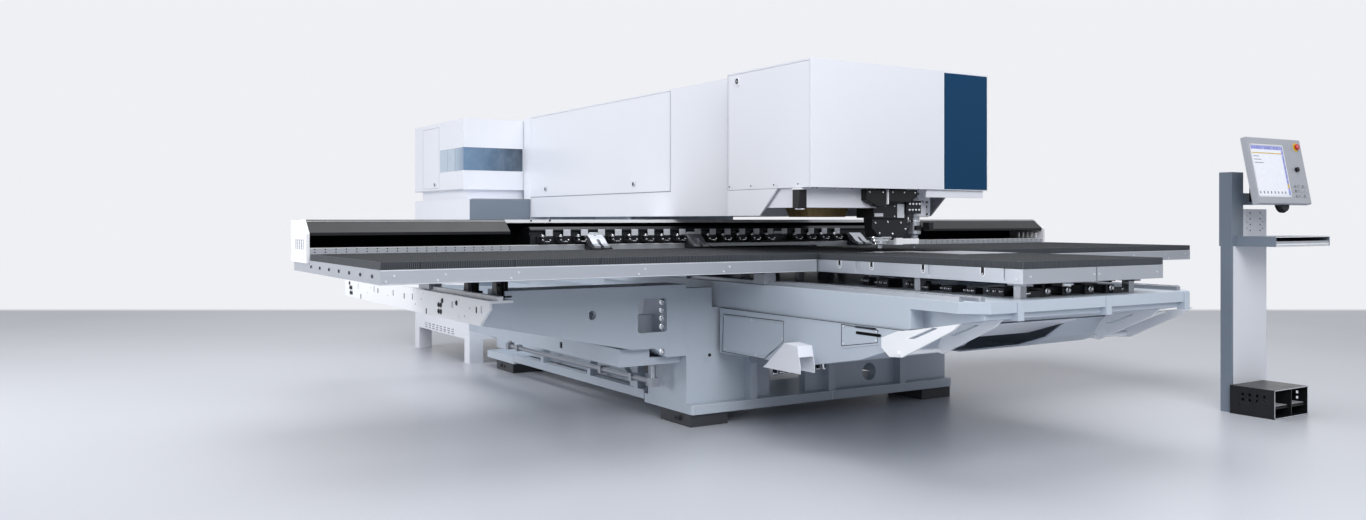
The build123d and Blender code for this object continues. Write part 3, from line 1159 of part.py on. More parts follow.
# Laser cabinet, lower part: a shell on four feet, with ventilation slots low on its sides and a plinth
CABINET_WALL = 20
FOOT = 130
FOOT_INSET = 60
PLINTH_Y = (2290, CABINET_REAR_Y - FOOT_INSET)
VENT_ROWS = (232, 252, 272)
VENT_COUNT = 8
VENT_PITCH = 108
VENT_LENGTH = 70
VENT_HEIGHT = 9
FIRST_VENT_Y = 2520
with BuildPart() as cabinet_lower:
    low_y = (CABINET_LOWER_FRONT_Y, CABINET_REAR_Y)
    block((-CABINET_HALF_X, CABINET_HALF_X), low_y, CABINET_LOWER_Z)
    low_inside_x = (-CABINET_HALF_X + CABINET_WALL, CABINET_HALF_X - CABINET_WALL)
    low_inside_y = (low_y[0] + CABINET_WALL, low_y[1] - CABINET_WALL)
    low_inside_z = (CABINET_LOWER_Z[0], CABINET_LOWER_Z[1] - CABINET_WALL)
    block(low_inside_x, low_inside_y, low_inside_z, mode=Mode.SUBTRACT)
    plinth_z = (CABINET_LOWER_Z[1], CABINET_UPPER_Z[0])
    frame_of((-CABINET_HALF_X + FOOT_INSET, CABINET_HALF_X - FOOT_INSET), PLINTH_Y, plinth_z, CABINET_WALL)
    for foot_x in (-CABINET_HALF_X, CABINET_HALF_X - FOOT):
        for foot_y in (low_y[0], low_y[1] - FOOT):
            block((foot_x, foot_x + FOOT), (foot_y, foot_y + FOOT), (0, CABINET_LOWER_Z[0] + CABINET_WALL))
    wall_centre_x = CABINET_HALF_X - CABINET_WALL / 2
    vent_ys = [FIRST_VENT_Y + VENT_PITCH * index for index in range(VENT_COUNT)]
    vents = [(side * wall_centre_x, y, z) for side in (-1, 1) for y in vent_ys for z in VENT_ROWS]
    blocks(vents, (CABINET_WALL, VENT_LENGTH, VENT_HEIGHT), mode=Mode.SUBTRACT)
cabinet_lower.part.label = "cabinet_lower"
export_step(cabinet_lower.part, "parts/cabinet_lower.step")

# Laser cabinet, upper part: a shell with the cut-out for the window band and the left doorway
BAND_FRONT_X = -640
BAND_SIDE_Y = 2869
CABINET_DOOR_Y = (2892, 3371)
CABINET_DOOR_Z = (1600, 2190)
with BuildPart() as cabinet_upper:
    high_y = (CABINET_UPPER_FRONT_Y, CABINET_REAR_Y)
    block((-CABINET_HALF_X, CABINET_HALF_X), high_y, CABINET_UPPER_Z)
    high_inside_y = (high_y[0] + CABINET_WALL, high_y[1] - CABINET_WALL)
    high_inside_z = (CABINET_UPPER_Z[0] + CABINET_WALL, CABINET_UPPER_Z[1] - CABINET_WALL)
    block(low_inside_x, high_inside_y, high_inside_z, mode=Mode.SUBTRACT)
    band = [
        (-CABINET_HALF_X, high_y[0]),
        (BAND_FRONT_X, high_y[0]),
        (BAND_FRONT_X, high_y[0] + CABINET_WALL),
        (-CABINET_HALF_X + CABINET_WALL, high_y[0] + CABINET_WALL),
        (-CABINET_HALF_X + CABINET_WALL, BAND_SIDE_Y),
        (-CABINET_HALF_X, BAND_SIDE_Y),
    ]
    along_z(band, WINDOW_Z, mode=Mode.SUBTRACT)
    doorway_x = (-CABINET_HALF_X, -CABINET_HALF_X + CABINET_WALL)
    block(doorway_x, CABINET_DOOR_Y, CABINET_DOOR_Z, mode=Mode.SUBTRACT)
cabinet_upper.part.label = "cabinet_upper"
export_step(cabinet_upper.part, "parts/cabinet_upper.step")

# Window band: tinted glass folded round the cabinet's front left corner
with BuildPart() as cabinet_window:
    along_z(band, WINDOW_Z)
cabinet_window.part.label = "cabinet_window"
export_step(cabinet_window.part, "parts/cabinet_window.step")

# Cabinet door on the left, hinged on its rear edge, with a lock
with BuildPart() as cabinet_door:
    leaf_y = (CABINET_DOOR_Y[0] + DOOR_GAP, CABINET_DOOR_Y[1] - DOOR_GAP)
    leaf_z = (CABINET_DOOR_Z[0] + DOOR_GAP, CABINET_DOOR_Z[1] - DOOR_GAP)
    block((-CABINET_HALF_X, -CABINET_HALF_X + SKIN), leaf_y, leaf_z)
    lock_x = (-CABINET_HALF_X - LOCK_PROUD, -CABINET_HALF_X)
    hole_x(leaf_y[0] + 90, leaf_z[0] + 50, lock_x, FLAP_LOCK_RADIUS, mode=Mode.ADD)
cabinet_door.part.label = "cabinet_door"
export_step(cabinet_door.part, "parts/cabinet_door.step")

# Console column: a light folded profile on the floor, stepped back above the tray and drilled there
RAIL_X = 2262
UPPER_PLATE_X = 2380
PLATE_TOP = 1371
COLUMN_HOLES = ((2420, 1235), (2610, 1235), (2420, 1280), (2610, 1280), (2420, 1325), (2610, 1325))
with BuildPart() as console_column:
    block((RAIL_X, CONSOLE_X[1]), CONSOLE_Y, (0, PLATE_TOP))
    fold_x = (RAIL_X + 8, CONSOLE_X[1] - 8)
    fold_y = (CONSOLE_Y[0] + 8, CONSOLE_Y[1])
    block(fold_x, fold_y, (8, PLATE_TOP), mode=Mode.SUBTRACT)
    block((RAIL_X, UPPER_PLATE_X), CONSOLE_Y, (TRAY_Z[0], PLATE_TOP), mode=Mode.SUBTRACT)
    for hole_at in COLUMN_HOLES:
        hole_y(hole_at[0], hole_at[1], (CONSOLE_Y[0], CONSOLE_Y[0] + 8), 9)
console_column.part.label = "console_column"
export_step(console_column.part, "parts/console_column.step")

# Console mast: the dark side rail, the upper housing and the bracket with the monitor arm's bore
ARM_SWIVEL = (2458, -3014)
SWIVEL_RADIUS = 16
SWIVEL_Z = (1400, 1420)
with BuildPart() as console_mast:
    block((CONSOLE_X[0], RAIL_X), CONSOLE_Y, (0, TRAY_Z[0]))
    mast_y = (CONSOLE_Y[0], CONSOLE_Y[1] + 10)
    block((CONSOLE_X[0], UPPER_PLATE_X), mast_y, (TRAY_Z[0], CONSOLE_TOP))
    block((UPPER_PLATE_X, 2510), (CONSOLE_Y[0] + 10, CONSOLE_Y[1] - 10), (SWIVEL_Z[0], SWIVEL_Z[0] + 80))
    block((ARM_SWIVEL[0] - 34, ARM_SWIVEL[0] + 34), (ARM_SWIVEL[1] - 30, CONSOLE_Y[0] + 10), SWIVEL_Z)
    hole_z(ARM_SWIVEL[0], ARM_SWIVEL[1], SWIVEL_Z, SWIVEL_RADIUS + RUNNING_FIT)
console_mast.part.label = "console_mast"
export_step(console_mast.part, "parts/console_mast.step")

# Keyboard tray: a flat case, open in front, on the column
TRAY_SHEET = 6
with BuildPart() as console_tray:
    block(TRAY_X, TRAY_Y, TRAY_Z)
    tray_inside = (TRAY_X[0] + TRAY_SHEET, TRAY_X[1] - TRAY_SHEET)
    inside_z = (TRAY_Z[0] + TRAY_SHEET, TRAY_Z[1] - TRAY_SHEET)
    block(tray_inside, (TRAY_Y[0], TRAY_Y[1] - TRAY_SHEET), inside_z, mode=Mode.SUBTRACT)
console_tray.part.label = "console_tray"
export_step(console_tray.part, "parts/console_tray.step")

# Keyboard drawer: an open box with a key field that slides forward out of the tray
DRAWER_PLAY = 0.5
KEY_PITCH = 40
KEY_SIZE = (30, 30, 5)
KEY_COLUMNS = 13
KEY_ROWS = 4
with BuildPart() as keyboard_drawer:
    drawer_x = (tray_inside[0] + DRAWER_PLAY, tray_inside[1] - DRAWER_PLAY)
    drawer_y = (TRAY_Y[0] + 2, TRAY_Y[1] - TRAY_SHEET - 10)
    drawer_z = (inside_z[0] + DRAWER_PLAY, inside_z[0] + 30)
    block(drawer_x, drawer_y, drawer_z)
    drawer_inside = (drawer_x[0] + 5, drawer_x[1] - 5)
    drawer_depth = (drawer_y[0] + 5, drawer_y[1] - 5)
    block(drawer_inside, drawer_depth, (drawer_z[0] + 5, drawer_z[1]), mode=Mode.SUBTRACT)
    field_y = (drawer_y[0] + 40, drawer_y[1] - 40)
    field_z = (drawer_z[0] + 5, drawer_z[0] + 15)
    block((drawer_x[0] + 60, drawer_x[1] - 60), field_y, field_z)
    key_middle = (drawer_x[0] + 325, drawer_y[0] + 123)
    with Locations((key_middle[0], key_middle[1], field_z[1] + KEY_SIZE[2] / 2)):
        with GridLocations(KEY_PITCH, KEY_PITCH, KEY_COLUMNS, KEY_ROWS):
            Box(*KEY_SIZE)
keyboard_drawer.part.label = "keyboard_drawer"
export_step(keyboard_drawer.part, "parts/keyboard_drawer.step")

# Monitor arm: swivel pin and upright with its clamp knob, and the ear that carries the monitor
PIVOT_RADIUS = 8
EAR_HALF_X = 12
EAR_RADIUS = 16
with BuildPart() as monitor_arm:
    hole_z(ARM_SWIVEL[0], ARM_SWIVEL[1], SWIVEL_Z, SWIVEL_RADIUS, mode=Mode.ADD)
    upright_y = (ARM_SWIVEL[1] - 30, ARM_SWIVEL[1] + 26)
    block((ARM_SWIVEL[0] - 30, ARM_SWIVEL[0] + 30), upright_y, (SWIVEL_Z[1], 1592))
    ear_x = (ARM_SWIVEL[0] - EAR_HALF_X, ARM_SWIVEL[0] + EAR_HALF_X)
    ear_z = (MONITOR_PIVOT[2] - EAR_RADIUS, MONITOR_PIVOT[2] + EAR_RADIUS)
    block(ear_x, (MONITOR_PIVOT[1], upright_y[0]), ear_z)
    hole_x(MONITOR_PIVOT[1], MONITOR_PIVOT[2], ear_x, EAR_RADIUS, mode=Mode.ADD)
    hole_x(MONITOR_PIVOT[1], MONITOR_PIVOT[2], ear_x, PIVOT_RADIUS + RUNNING_FIT)
    knob_x = (ARM_SWIVEL[0] + 30, ARM_SWIVEL[0] + 58)
    hole_x(ARM_SWIVEL[1], 1500, knob_x, 20, mode=Mode.ADD)
monitor_arm.part.label = "monitor_arm"
export_step(monitor_arm.part, "parts/monitor_arm.step")

# The monitor's own plane: X across, Y up the leaning case, Z out of the screen, origin on the tilt pin
LEAN = Plane(
    origin=MONITOR_PIVOT,
    x_dir=(1, 0, 0),
    z_dir=(0, -cos(radians(MONITOR_TILT)), sin(radians(MONITOR_TILT))),
)
CASE_X = (-315, 315)
CASE_Y = (-177, 273)
CASE_BACK = 45
CASE_FRONT = 90
SCREEN_X = (-292, 84)
SCREEN_Y = (-122, 218)
SCREEN_DEPTH = 4
STOP_AT = (250, 218)
STOP_STEM_RADIUS = 12
STOP_DEPTH = 20
KNOB_AT = (200, 60)
KNOB_PIN_RADIUS = 5
SOFT_KEY = (22, 18, 1.5)
with BuildPart(LEAN) as monitor:
    block(CASE_X, CASE_Y, (CASE_BACK, CASE_FRONT))
    chamfer(monitor.edges().filter_by(Axis.X), 6)
    block(SCREEN_X, SCREEN_Y, (CASE_FRONT - SCREEN_DEPTH, CASE_FRONT), mode=Mode.SUBTRACT)
    for lug_x in ((-30, -EAR_HALF_X - 1), (EAR_HALF_X + 1, 30)):
        block(lug_x, (-14, 14), (-10, CASE_BACK))
    with Locations((0, 0, 0)):
        Cylinder(PIVOT_RADIUS, 60, rotation=(0, 90, 0))
    with Locations((STOP_AT[0], STOP_AT[1], CASE_FRONT - STOP_DEPTH / 2)):
        Cylinder(STOP_STEM_RADIUS + RUNNING_FIT, STOP_DEPTH, mode=Mode.SUBTRACT)
    with Locations((KNOB_AT[0], KNOB_AT[1], CASE_FRONT + 6)):
        Cylinder(KNOB_PIN_RADIUS, 12)
    with Locations((195, -87, CASE_FRONT + SOFT_KEY[2] / 2)):
        with GridLocations(32, 34, 6, 3):
            Box(*SOFT_KEY)
monitor.part.label = "monitor"
export_step(monitor.part, "parts/monitor.step")

# Screen pane set into the monitor's case
with BuildPart(LEAN) as screen:
    block(SCREEN_X, SCREEN_Y, (CASE_FRONT - SCREEN_DEPTH, CASE_FRONT - 1))
screen.part.label = "screen"
export_step(screen.part, "parts/screen.step")

# Emergency stop: a mushroom head on a stem that latches in when struck
with BuildPart(LEAN) as emergency_stop:
    with Locations((STOP_AT[0], STOP_AT[1], CASE_FRONT)):
        Cylinder(STOP_STEM_RADIUS, 20)
    with Locations((STOP_AT[0], STOP_AT[1], CASE_FRONT + 15)):
        Cylinder(20, 14)
    chamfer(emergency_stop.edges().filter_by(GeomType.CIRCLE).sort_by(Axis.Y)[0], 4)
emergency_stop.part.label = "emergency_stop"
export_step(emergency_stop.part, "parts/emergency_stop.step")

# Selector knob on its pin
with BuildPart(LEAN) as selector_knob:
    with Locations((KNOB_AT[0], KNOB_AT[1], CASE_FRONT + 10)):
        Cylinder(16, 16)
        Box(7, 30, 16)
    with Locations((KNOB_AT[0], KNOB_AT[1], CASE_FRONT + 7)):
        Cylinder(KNOB_PIN_RADIUS + RUNNING_FIT, 12, mode=Mode.SUBTRACT)
selector_knob.part.label = "selector_knob"
export_step(selector_knob.part, "parts/selector_knob.step")

# Pedal box: a sheet hood on the floor, open in front, with a divider and perforated sides
PEDAL_SHEET = 8
PEDAL_HINGE = (-3040, 64)
PEDAL_PIN_RADIUS = 6
DIVIDER_X = (2417, 2425)
PERFORATION = 18
PERFORATION_YS = (-3208, -3160, -3112, -3064)
PERFORATION_ZS = (104, 140)
with BuildPart() as pedal_box:
    block(PEDAL_BOX_X, PEDAL_BOX_Y, (0, PEDAL_BOX_TOP))
    bay_y = (PEDAL_BOX_Y[0], PEDAL_BOX_Y[1] - PEDAL_SHEET)
    bay_z = (PEDAL_SHEET, PEDAL_BOX_TOP - PEDAL_SHEET)
    bays = ((PEDAL_BOX_X[0] + PEDAL_SHEET, DIVIDER_X[0]), (DIVIDER_X[1], PEDAL_BOX_X[1] - PEDAL_SHEET))
    for bay_x in bays:
        block(bay_x, bay_y, bay_z, mode=Mode.SUBTRACT)
    hole_x(PEDAL_HINGE[0], PEDAL_HINGE[1], PEDAL_BOX_X, PEDAL_PIN_RADIUS + RUNNING_FIT)
    side_walls = (PEDAL_BOX_X[0] + PEDAL_SHEET / 2, PEDAL_BOX_X[1] - PEDAL_SHEET / 2)
    holes = [(x, y, z) for x in side_walls for y in PERFORATION_YS for z in PERFORATION_ZS]
    blocks(holes, (PEDAL_SHEET, PERFORATION, PERFORATION), mode=Mode.SUBTRACT)
pedal_box.part.label = "pedal_box"
export_step(pedal_box.part, "parts/pedal_box.step")


def pedal(bay_x):
    """One pedal: a tread plate with side cheeks, hanging on its own pin between two walls."""
    tread_x = (bay_x[0] + 2, bay_x[1] - 2)
    tread = [(-3262, 62), (-3262, 72), (-3052, 82), (-3028, 82), (-3028, 52), (-3052, 52), (-3060, 70)]
    along_x(tread, tread_x)
    pin_x = (bay_x[0] - PEDAL_SHEET / 2 + 0.5, bay_x[1] + PEDAL_SHEET / 2 - 0.5)
    hole_x(PEDAL_HINGE[0], PEDAL_HINGE[1], pin_x, PEDAL_PIN_RADIUS, mode=Mode.ADD)


# Pedals, left and right
with BuildPart() as pedal_left:
    pedal(bays[0])
pedal_left.part.label = "pedal_left"
export_step(pedal_left.part, "parts/pedal_left.step")

with BuildPart() as pedal_right:
    pedal(bays[1])
pedal_right.part.label = "pedal_right"
export_step(pedal_right.part, "parts/pedal_right.step")
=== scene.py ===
import json
import math
import random

import bmesh
import bpy
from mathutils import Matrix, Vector


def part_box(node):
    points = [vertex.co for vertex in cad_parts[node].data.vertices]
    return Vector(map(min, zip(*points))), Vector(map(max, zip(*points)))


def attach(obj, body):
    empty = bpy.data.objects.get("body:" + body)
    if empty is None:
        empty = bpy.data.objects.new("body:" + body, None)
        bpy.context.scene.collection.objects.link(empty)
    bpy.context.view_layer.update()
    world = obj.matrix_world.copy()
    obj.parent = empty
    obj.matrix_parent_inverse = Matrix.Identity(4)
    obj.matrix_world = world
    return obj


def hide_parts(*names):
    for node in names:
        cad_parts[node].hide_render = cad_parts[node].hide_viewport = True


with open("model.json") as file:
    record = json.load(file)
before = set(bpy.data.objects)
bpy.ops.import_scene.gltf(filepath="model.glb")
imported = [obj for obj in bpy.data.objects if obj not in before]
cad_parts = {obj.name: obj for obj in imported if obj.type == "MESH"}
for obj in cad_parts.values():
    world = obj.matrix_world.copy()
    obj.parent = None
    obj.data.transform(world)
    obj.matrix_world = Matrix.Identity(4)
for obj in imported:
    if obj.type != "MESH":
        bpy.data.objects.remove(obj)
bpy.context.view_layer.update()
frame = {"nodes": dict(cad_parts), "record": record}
chance = random.Random(7)

# Camera at the viewpoint of the photograph, in metres and degrees
CAMERA_PLACE = (-4.727, -7.174, 1.300)
CAMERA_TURN = -31.948
LENS = 28.397
SENSOR = 36.0
SHIFT_DOWN = -0.02965

# The floor turns into the pale wall beyond this depth in front of the camera
WALL_DEPTH = 15.3
WALL_BLEND = 0.4
FLOOR_HALF = 60.0

# The room's light, and the lamps: place, the point that they look at, size in metres and watts
ROOM_STRENGTH = 0.34
LAMPS = {"front": ((-3.0, -9.0, 6.0), (0.0, -1.5, 1.2), 6.0, 600),
         "side": ((-9.0, 2.0, 4.0), (-0.5, 0.5, 1.3), 4.0, 300),
         "low_side": ((-8.0, 1.0, 1.2), (-2.0, 0.5, 0.9), 1.6, 70),
         "top": ((0.5, -1.0, 8.0), (0.0, 0.0, 0.0), 7.0, 420)}

# Colours of the wall, the light of the room, the floor and the housings
WALL = "eff0f4"
ROOM = "f3f5fa"
FLOOR_COLOURS = ("c3c6ce", "babec6")
HOUSE_WHITE = "e2e5ed"
SCREEN_GLOW = 0.12

# Steps of a round corner, and the angle from which an edge is sharp
CORNER_STEPS = 4
SHARP_ANGLE = math.radians(35)

# The faces of a block whose corners are listed by X, then Y, then Z
BOX_FACES = ((0, 1, 3, 2), (4, 6, 7, 5), (0, 4, 5, 1), (2, 3, 7, 6), (0, 2, 6, 4), (1, 5, 7, 3))

# Directions that screws and round pieces face
FRONT = (0, -1, 0)
UP = (0, 0, 1)

# Every piece of the scene, as it waits to become a mesh
pieces = []


def tint(code):
    """A colour written as six hex digits, in linear light."""
    parts = [int(code[i:i + 2], 16) / 255 for i in (0, 2, 4)]
    linear = [((p + 0.055) / 1.055) ** 2.4 if p > 0.04045 else p / 12.92 for p in parts]
    return (*linear, 1.0)


def shade(colour, factor):
    """The same colour, lighter or darker."""
    return (*[min(1.0, c * factor) for c in colour[:3]], 1.0)


# Node helpers
def new_material(name):
    """An empty node material, its tree and its shader."""
    material = bpy.data.materials.new(name)
    material.use_nodes = True
    return material, material.node_tree, material.node_tree.nodes["Principled BSDF"]


def add_node(tree, kind, **settings):
    """A node of that kind with its settings."""
    node = tree.nodes.new(kind)
    for key, value in settings.items():
        setattr(node, key, value)
    return node


def object_place(tree, stretch=(1, 1, 1)):
    """Object coordinates in metres, stretched along the axes."""
    source = add_node(tree, "ShaderNodeTexCoord")
    mapping = add_node(tree, "ShaderNodeMapping")
    mapping.inputs["Scale"].default_value = stretch
    tree.links.new(source.outputs["Object"], mapping.inputs["Vector"])
    return mapping.outputs["Vector"]


def noise(tree, place, scale, detail=3.0):
    """A noise value over the surface."""
    node = add_node(tree, "ShaderNodeTexNoise")
    node.inputs["Scale"].default_value = scale
    node.inputs["Detail"].default_value = detail
    tree.links.new(place, node.inputs["Vector"])
    return node.outputs["Fac"]


def between(tree, value, low, high, source=(0.3, 0.7)):
    """A value spread between two others."""
    node = add_node(tree, "ShaderNodeMapRange")
    node.inputs["From Min"].default_value = source[0]
    node.inputs["From Max"].default_value = source[1]
    node.inputs["To Min"].default_value = low
    node.inputs["To Max"].default_value = high
    tree.links.new(value, node.inputs["Value"])
    return node.outputs["Result"]


def blend(tree, factor, first, second):
    """A colour between two colours, each a value or an output."""
    node = add_node(tree, "ShaderNodeMix", data_type="RGBA")
    tree.links.new(factor, node.inputs["Factor"])
    for socket, colour in ((node.inputs[6], first), (node.inputs[7], second)):
        if isinstance(colour, bpy.types.NodeSocket):
            tree.links.new(colour, socket)
        else:
            socket.default_value = colour
    return node.outputs[2]


def edge_rounding(tree, radius):
    """The normal of softly broken edges, and a mask that is high on them."""
    bevel = add_node(tree, "ShaderNodeBevel", samples=4)
    bevel.inputs["Radius"].default_value = radius
    geometry = add_node(tree, "ShaderNodeNewGeometry")
    dot = add_node(tree, "ShaderNodeVectorMath", operation="DOT_PRODUCT")
    tree.links.new(bevel.outputs["Normal"], dot.inputs[0])
    tree.links.new(geometry.outputs["Normal"], dot.inputs[1])
    mask = between(tree, dot.outputs["Value"], 1.0, 0.0, (0.80, 0.99))
    return bevel.outputs["Normal"], mask


def relief(tree, value, depth, normal):
    """A bump from a value, on top of a normal."""
    bump = add_node(tree, "ShaderNodeBump")
    bump.inputs["Strength"].default_value = 0.6
    bump.inputs["Distance"].default_value = depth
    tree.links.new(value, bump.inputs["Height"])
    tree.links.new(normal, bump.inputs["Normal"])
    return bump.outputs["Normal"]


def surface(name, code, metal=0.0, rough=0.4, spread=0.06, blotch=1.3, grain=260.0, depth=0.00004,
            stretch=(1, 1, 1), coat=0.0, edge_highlight_and_wear=1.12, edge=0.003, shine=0.5):
    """A finish with clouds of colour, fine grain and uneven gloss, with edges painted lighter: partly wear,
    partly a painted highlight along the edges.
    """
    material, tree, shader = new_material(name)
    colour = tint(code)
    place = object_place(tree, stretch)
    clouds = noise(tree, place, blotch)
    fine = noise(tree, place, grain, 2.0)
    normal, edges = edge_rounding(tree, edge)
    body = blend(tree, clouds, shade(colour, 1 - spread), shade(colour, 1 + spread))
    grained = blend(tree, between(tree, fine, 0.0, 0.12 + spread), body, shade(colour, 1 - 3 * spread))
    # Edges painted lighter: partly wear, partly a painted highlight along them
    highlight_and_wear_look = blend(tree, edges, grained, shade(colour, edge_highlight_and_wear))
    tree.links.new(highlight_and_wear_look, shader.inputs["Base Color"])
    gloss = between(tree, noise(tree, place, blotch * 5), rough - 0.03, rough + 0.03)
    tree.links.new(gloss, shader.inputs["Roughness"])
    tree.links.new(relief(tree, fine, depth, normal), shader.inputs["Normal"])
    shader.inputs["Metallic"].default_value = metal
    shader.inputs["Specular IOR Level"].default_value = shine
    shader.inputs["Coat Weight"].default_value = coat
    shader.inputs["Coat Roughness"].default_value = 0.15
    return material


def tinted_window():
    """Blue tinted glass, painted darker towards its right end as painted shade and paler towards the rear as
    a painted reflection.
    """
    material, tree, shader = new_material("tinted_window")
    place = object_place(tree)
    split = add_node(tree, "ShaderNodeSeparateXYZ")
    tree.links.new(place, split.inputs["Vector"])
    across = between(tree, split.outputs["X"], 0.0, 1.0, (-1.2, -0.7))
    depth = between(tree, split.outputs["Y"], 0.0, 1.0, (2.24, 2.5))
    # Painted shade: the glass is darker towards its right end
    front = blend(tree, across, tint("5b7c9c"), tint("1d3144"))
    # Painted reflection: the glass is paler towards the rear
    body = blend(tree, depth, front, tint("a9bccd"))
    hazy = blend(tree, between(tree, noise(tree, place, 9.0), 0.0, 0.25), body, tint("8fa5ba"))
    tree.links.new(hazy, shader.inputs["Base Color"])
    tree.links.new(between(tree, noise(tree, place, 30.0), 0.05, 0.14), shader.inputs["Roughness"])
    shader.inputs["Coat Weight"].default_value = 0.6
    return material


def screen_picture(name, first, second):
    """A lit panel of a display, with faint clouds of its own colour."""
    material, tree, shader = new_material(name)
    place = object_place(tree)
    clouds = noise(tree, place, 60.0, 0.0)
    picture = blend(tree, between(tree, clouds, 0.0, 1.0), tint(first), tint(second))
    tree.links.new(picture, shader.inputs["Base Color"])
    tree.links.new(picture, shader.inputs["Emission Color"])
    tree.links.new(between(tree, clouds, 0.2, 0.3), shader.inputs["Roughness"])
    shader.inputs["Emission Strength"].default_value = SCREEN_GLOW
    return material


LONG_X = (0.05, 1, 1)
LONG_Z = (1, 1, 0.06)
looks = {
    "cast": surface("cast_pads", "33363b", rough=0.62, spread=0.15, blotch=9, grain=160, depth=0.0008),
    "lower_paint": surface("base_paint", "b6c0cc", rough=0.42, spread=0.03, coat=0.15),
    "upper_paint": surface("housing_paint", HOUSE_WHITE, rough=0.36, spread=0.02, coat=0.2, edge_highlight_and_wear=1.06),
    "blue_paint": surface("blue_paint", "0d3a5c", rough=0.5, spread=0.05, edge_highlight_and_wear=1.5, shine=0.15),
    "dark_paint": surface("dark_paint", "17181b", rough=0.34, spread=0.08, blotch=2, edge_highlight_and_wear=1.6, shine=0.3),
    "steel": surface("ground_steel", "a7abb2", metal=0.8, rough=0.38, blotch=2, stretch=LONG_X),
    "dark_steel": surface("black_steel", "2a2c30", metal=0.6, rough=0.34, spread=0.1, edge_highlight_and_wear=2.2),
    "aluminium": surface("anodised_rails", "b4b9c1", metal=0.55, rough=0.34, spread=0.05, grain=420,
                         stretch=LONG_X),
    "brush": surface("bristles", "25292e", rough=0.75, spread=0.3, blotch=14, grain=300, depth=0.001),
    "bronze": surface("bronze_cover", "9c8353", metal=0.3, rough=0.38, spread=0.3, blotch=40, stretch=LONG_Z),
    "rubber_grey": surface("grey_pipe", "b3b9c1", rough=0.35, coat=0.2),
    "tinted_glass": tinted_window(),
    "screen_glass": screen_picture("screen_ground", "eef0f6", "e2e6f2"),
    "grey_plastic": surface("grey_plastic", "a9adb5", rough=0.4, grain=700),
    "red_plastic": surface("red_plastic", "c01418", rough=0.25, coat=0.5),
    "black_plastic": surface("black_plastic", "141517", rough=0.5, spread=0.15, edge_highlight_and_wear=2.0, shine=0.25),
    "chrome": surface("chrome", "d5d8dc", metal=1.0, rough=0.14, spread=0.04, blotch=12),
    "pale_metal": surface("pale_metal", "d4d8df", metal=0.3, rough=0.34, blotch=6),
    # Near-black fill: painted shade inside holes, slots and recesses, and the dark of joint lines
    "shade_and_joints": surface("dark_shade_and_joints", "08090b", rough=0.8, spread=0.2, edge_highlight_and_wear=1.0, shine=0.1),
    "white_trim": surface("white_trim", "f0f2f6", rough=0.3, spread=0.02, edge_highlight_and_wear=1.02),
    "violet": screen_picture("violet_fields", "7f86c8", "989ed8"),
    "yellow": surface("yellow_plastic", "e0bb1c", rough=0.35),
    "comb": surface("comb_slats", "3d4248", rough=0.5, spread=0.15, edge_highlight_and_wear=1.5),
    "slate": surface("mast_paint", "75808e", rough=0.4),
}
SPECIAL_NODES = {"guide_beam": "white_trim", "outriggers": "white_trim", "chutes": "upper_paint",
                 "flap_brackets": "white_trim", "head_skirt": "upper_paint", "water_pipe": "steel",
                 "cabinet_lower": "upper_paint", "transverse_rail": "dark_steel", "console_mast": "slate",
                 "console_tray": "slate", "monitor": "grey_plastic"}


def dress_nodes():
    """Gives every CAD node the finish of its slot."""
    for row in frame["record"]["subparts"]:
        node = frame["nodes"][row["node"]]
        look = looks[SPECIAL_NODES.get(row["node"], row["material_slot"])]
        node.data.materials.clear()
        node.data.materials.append(look)


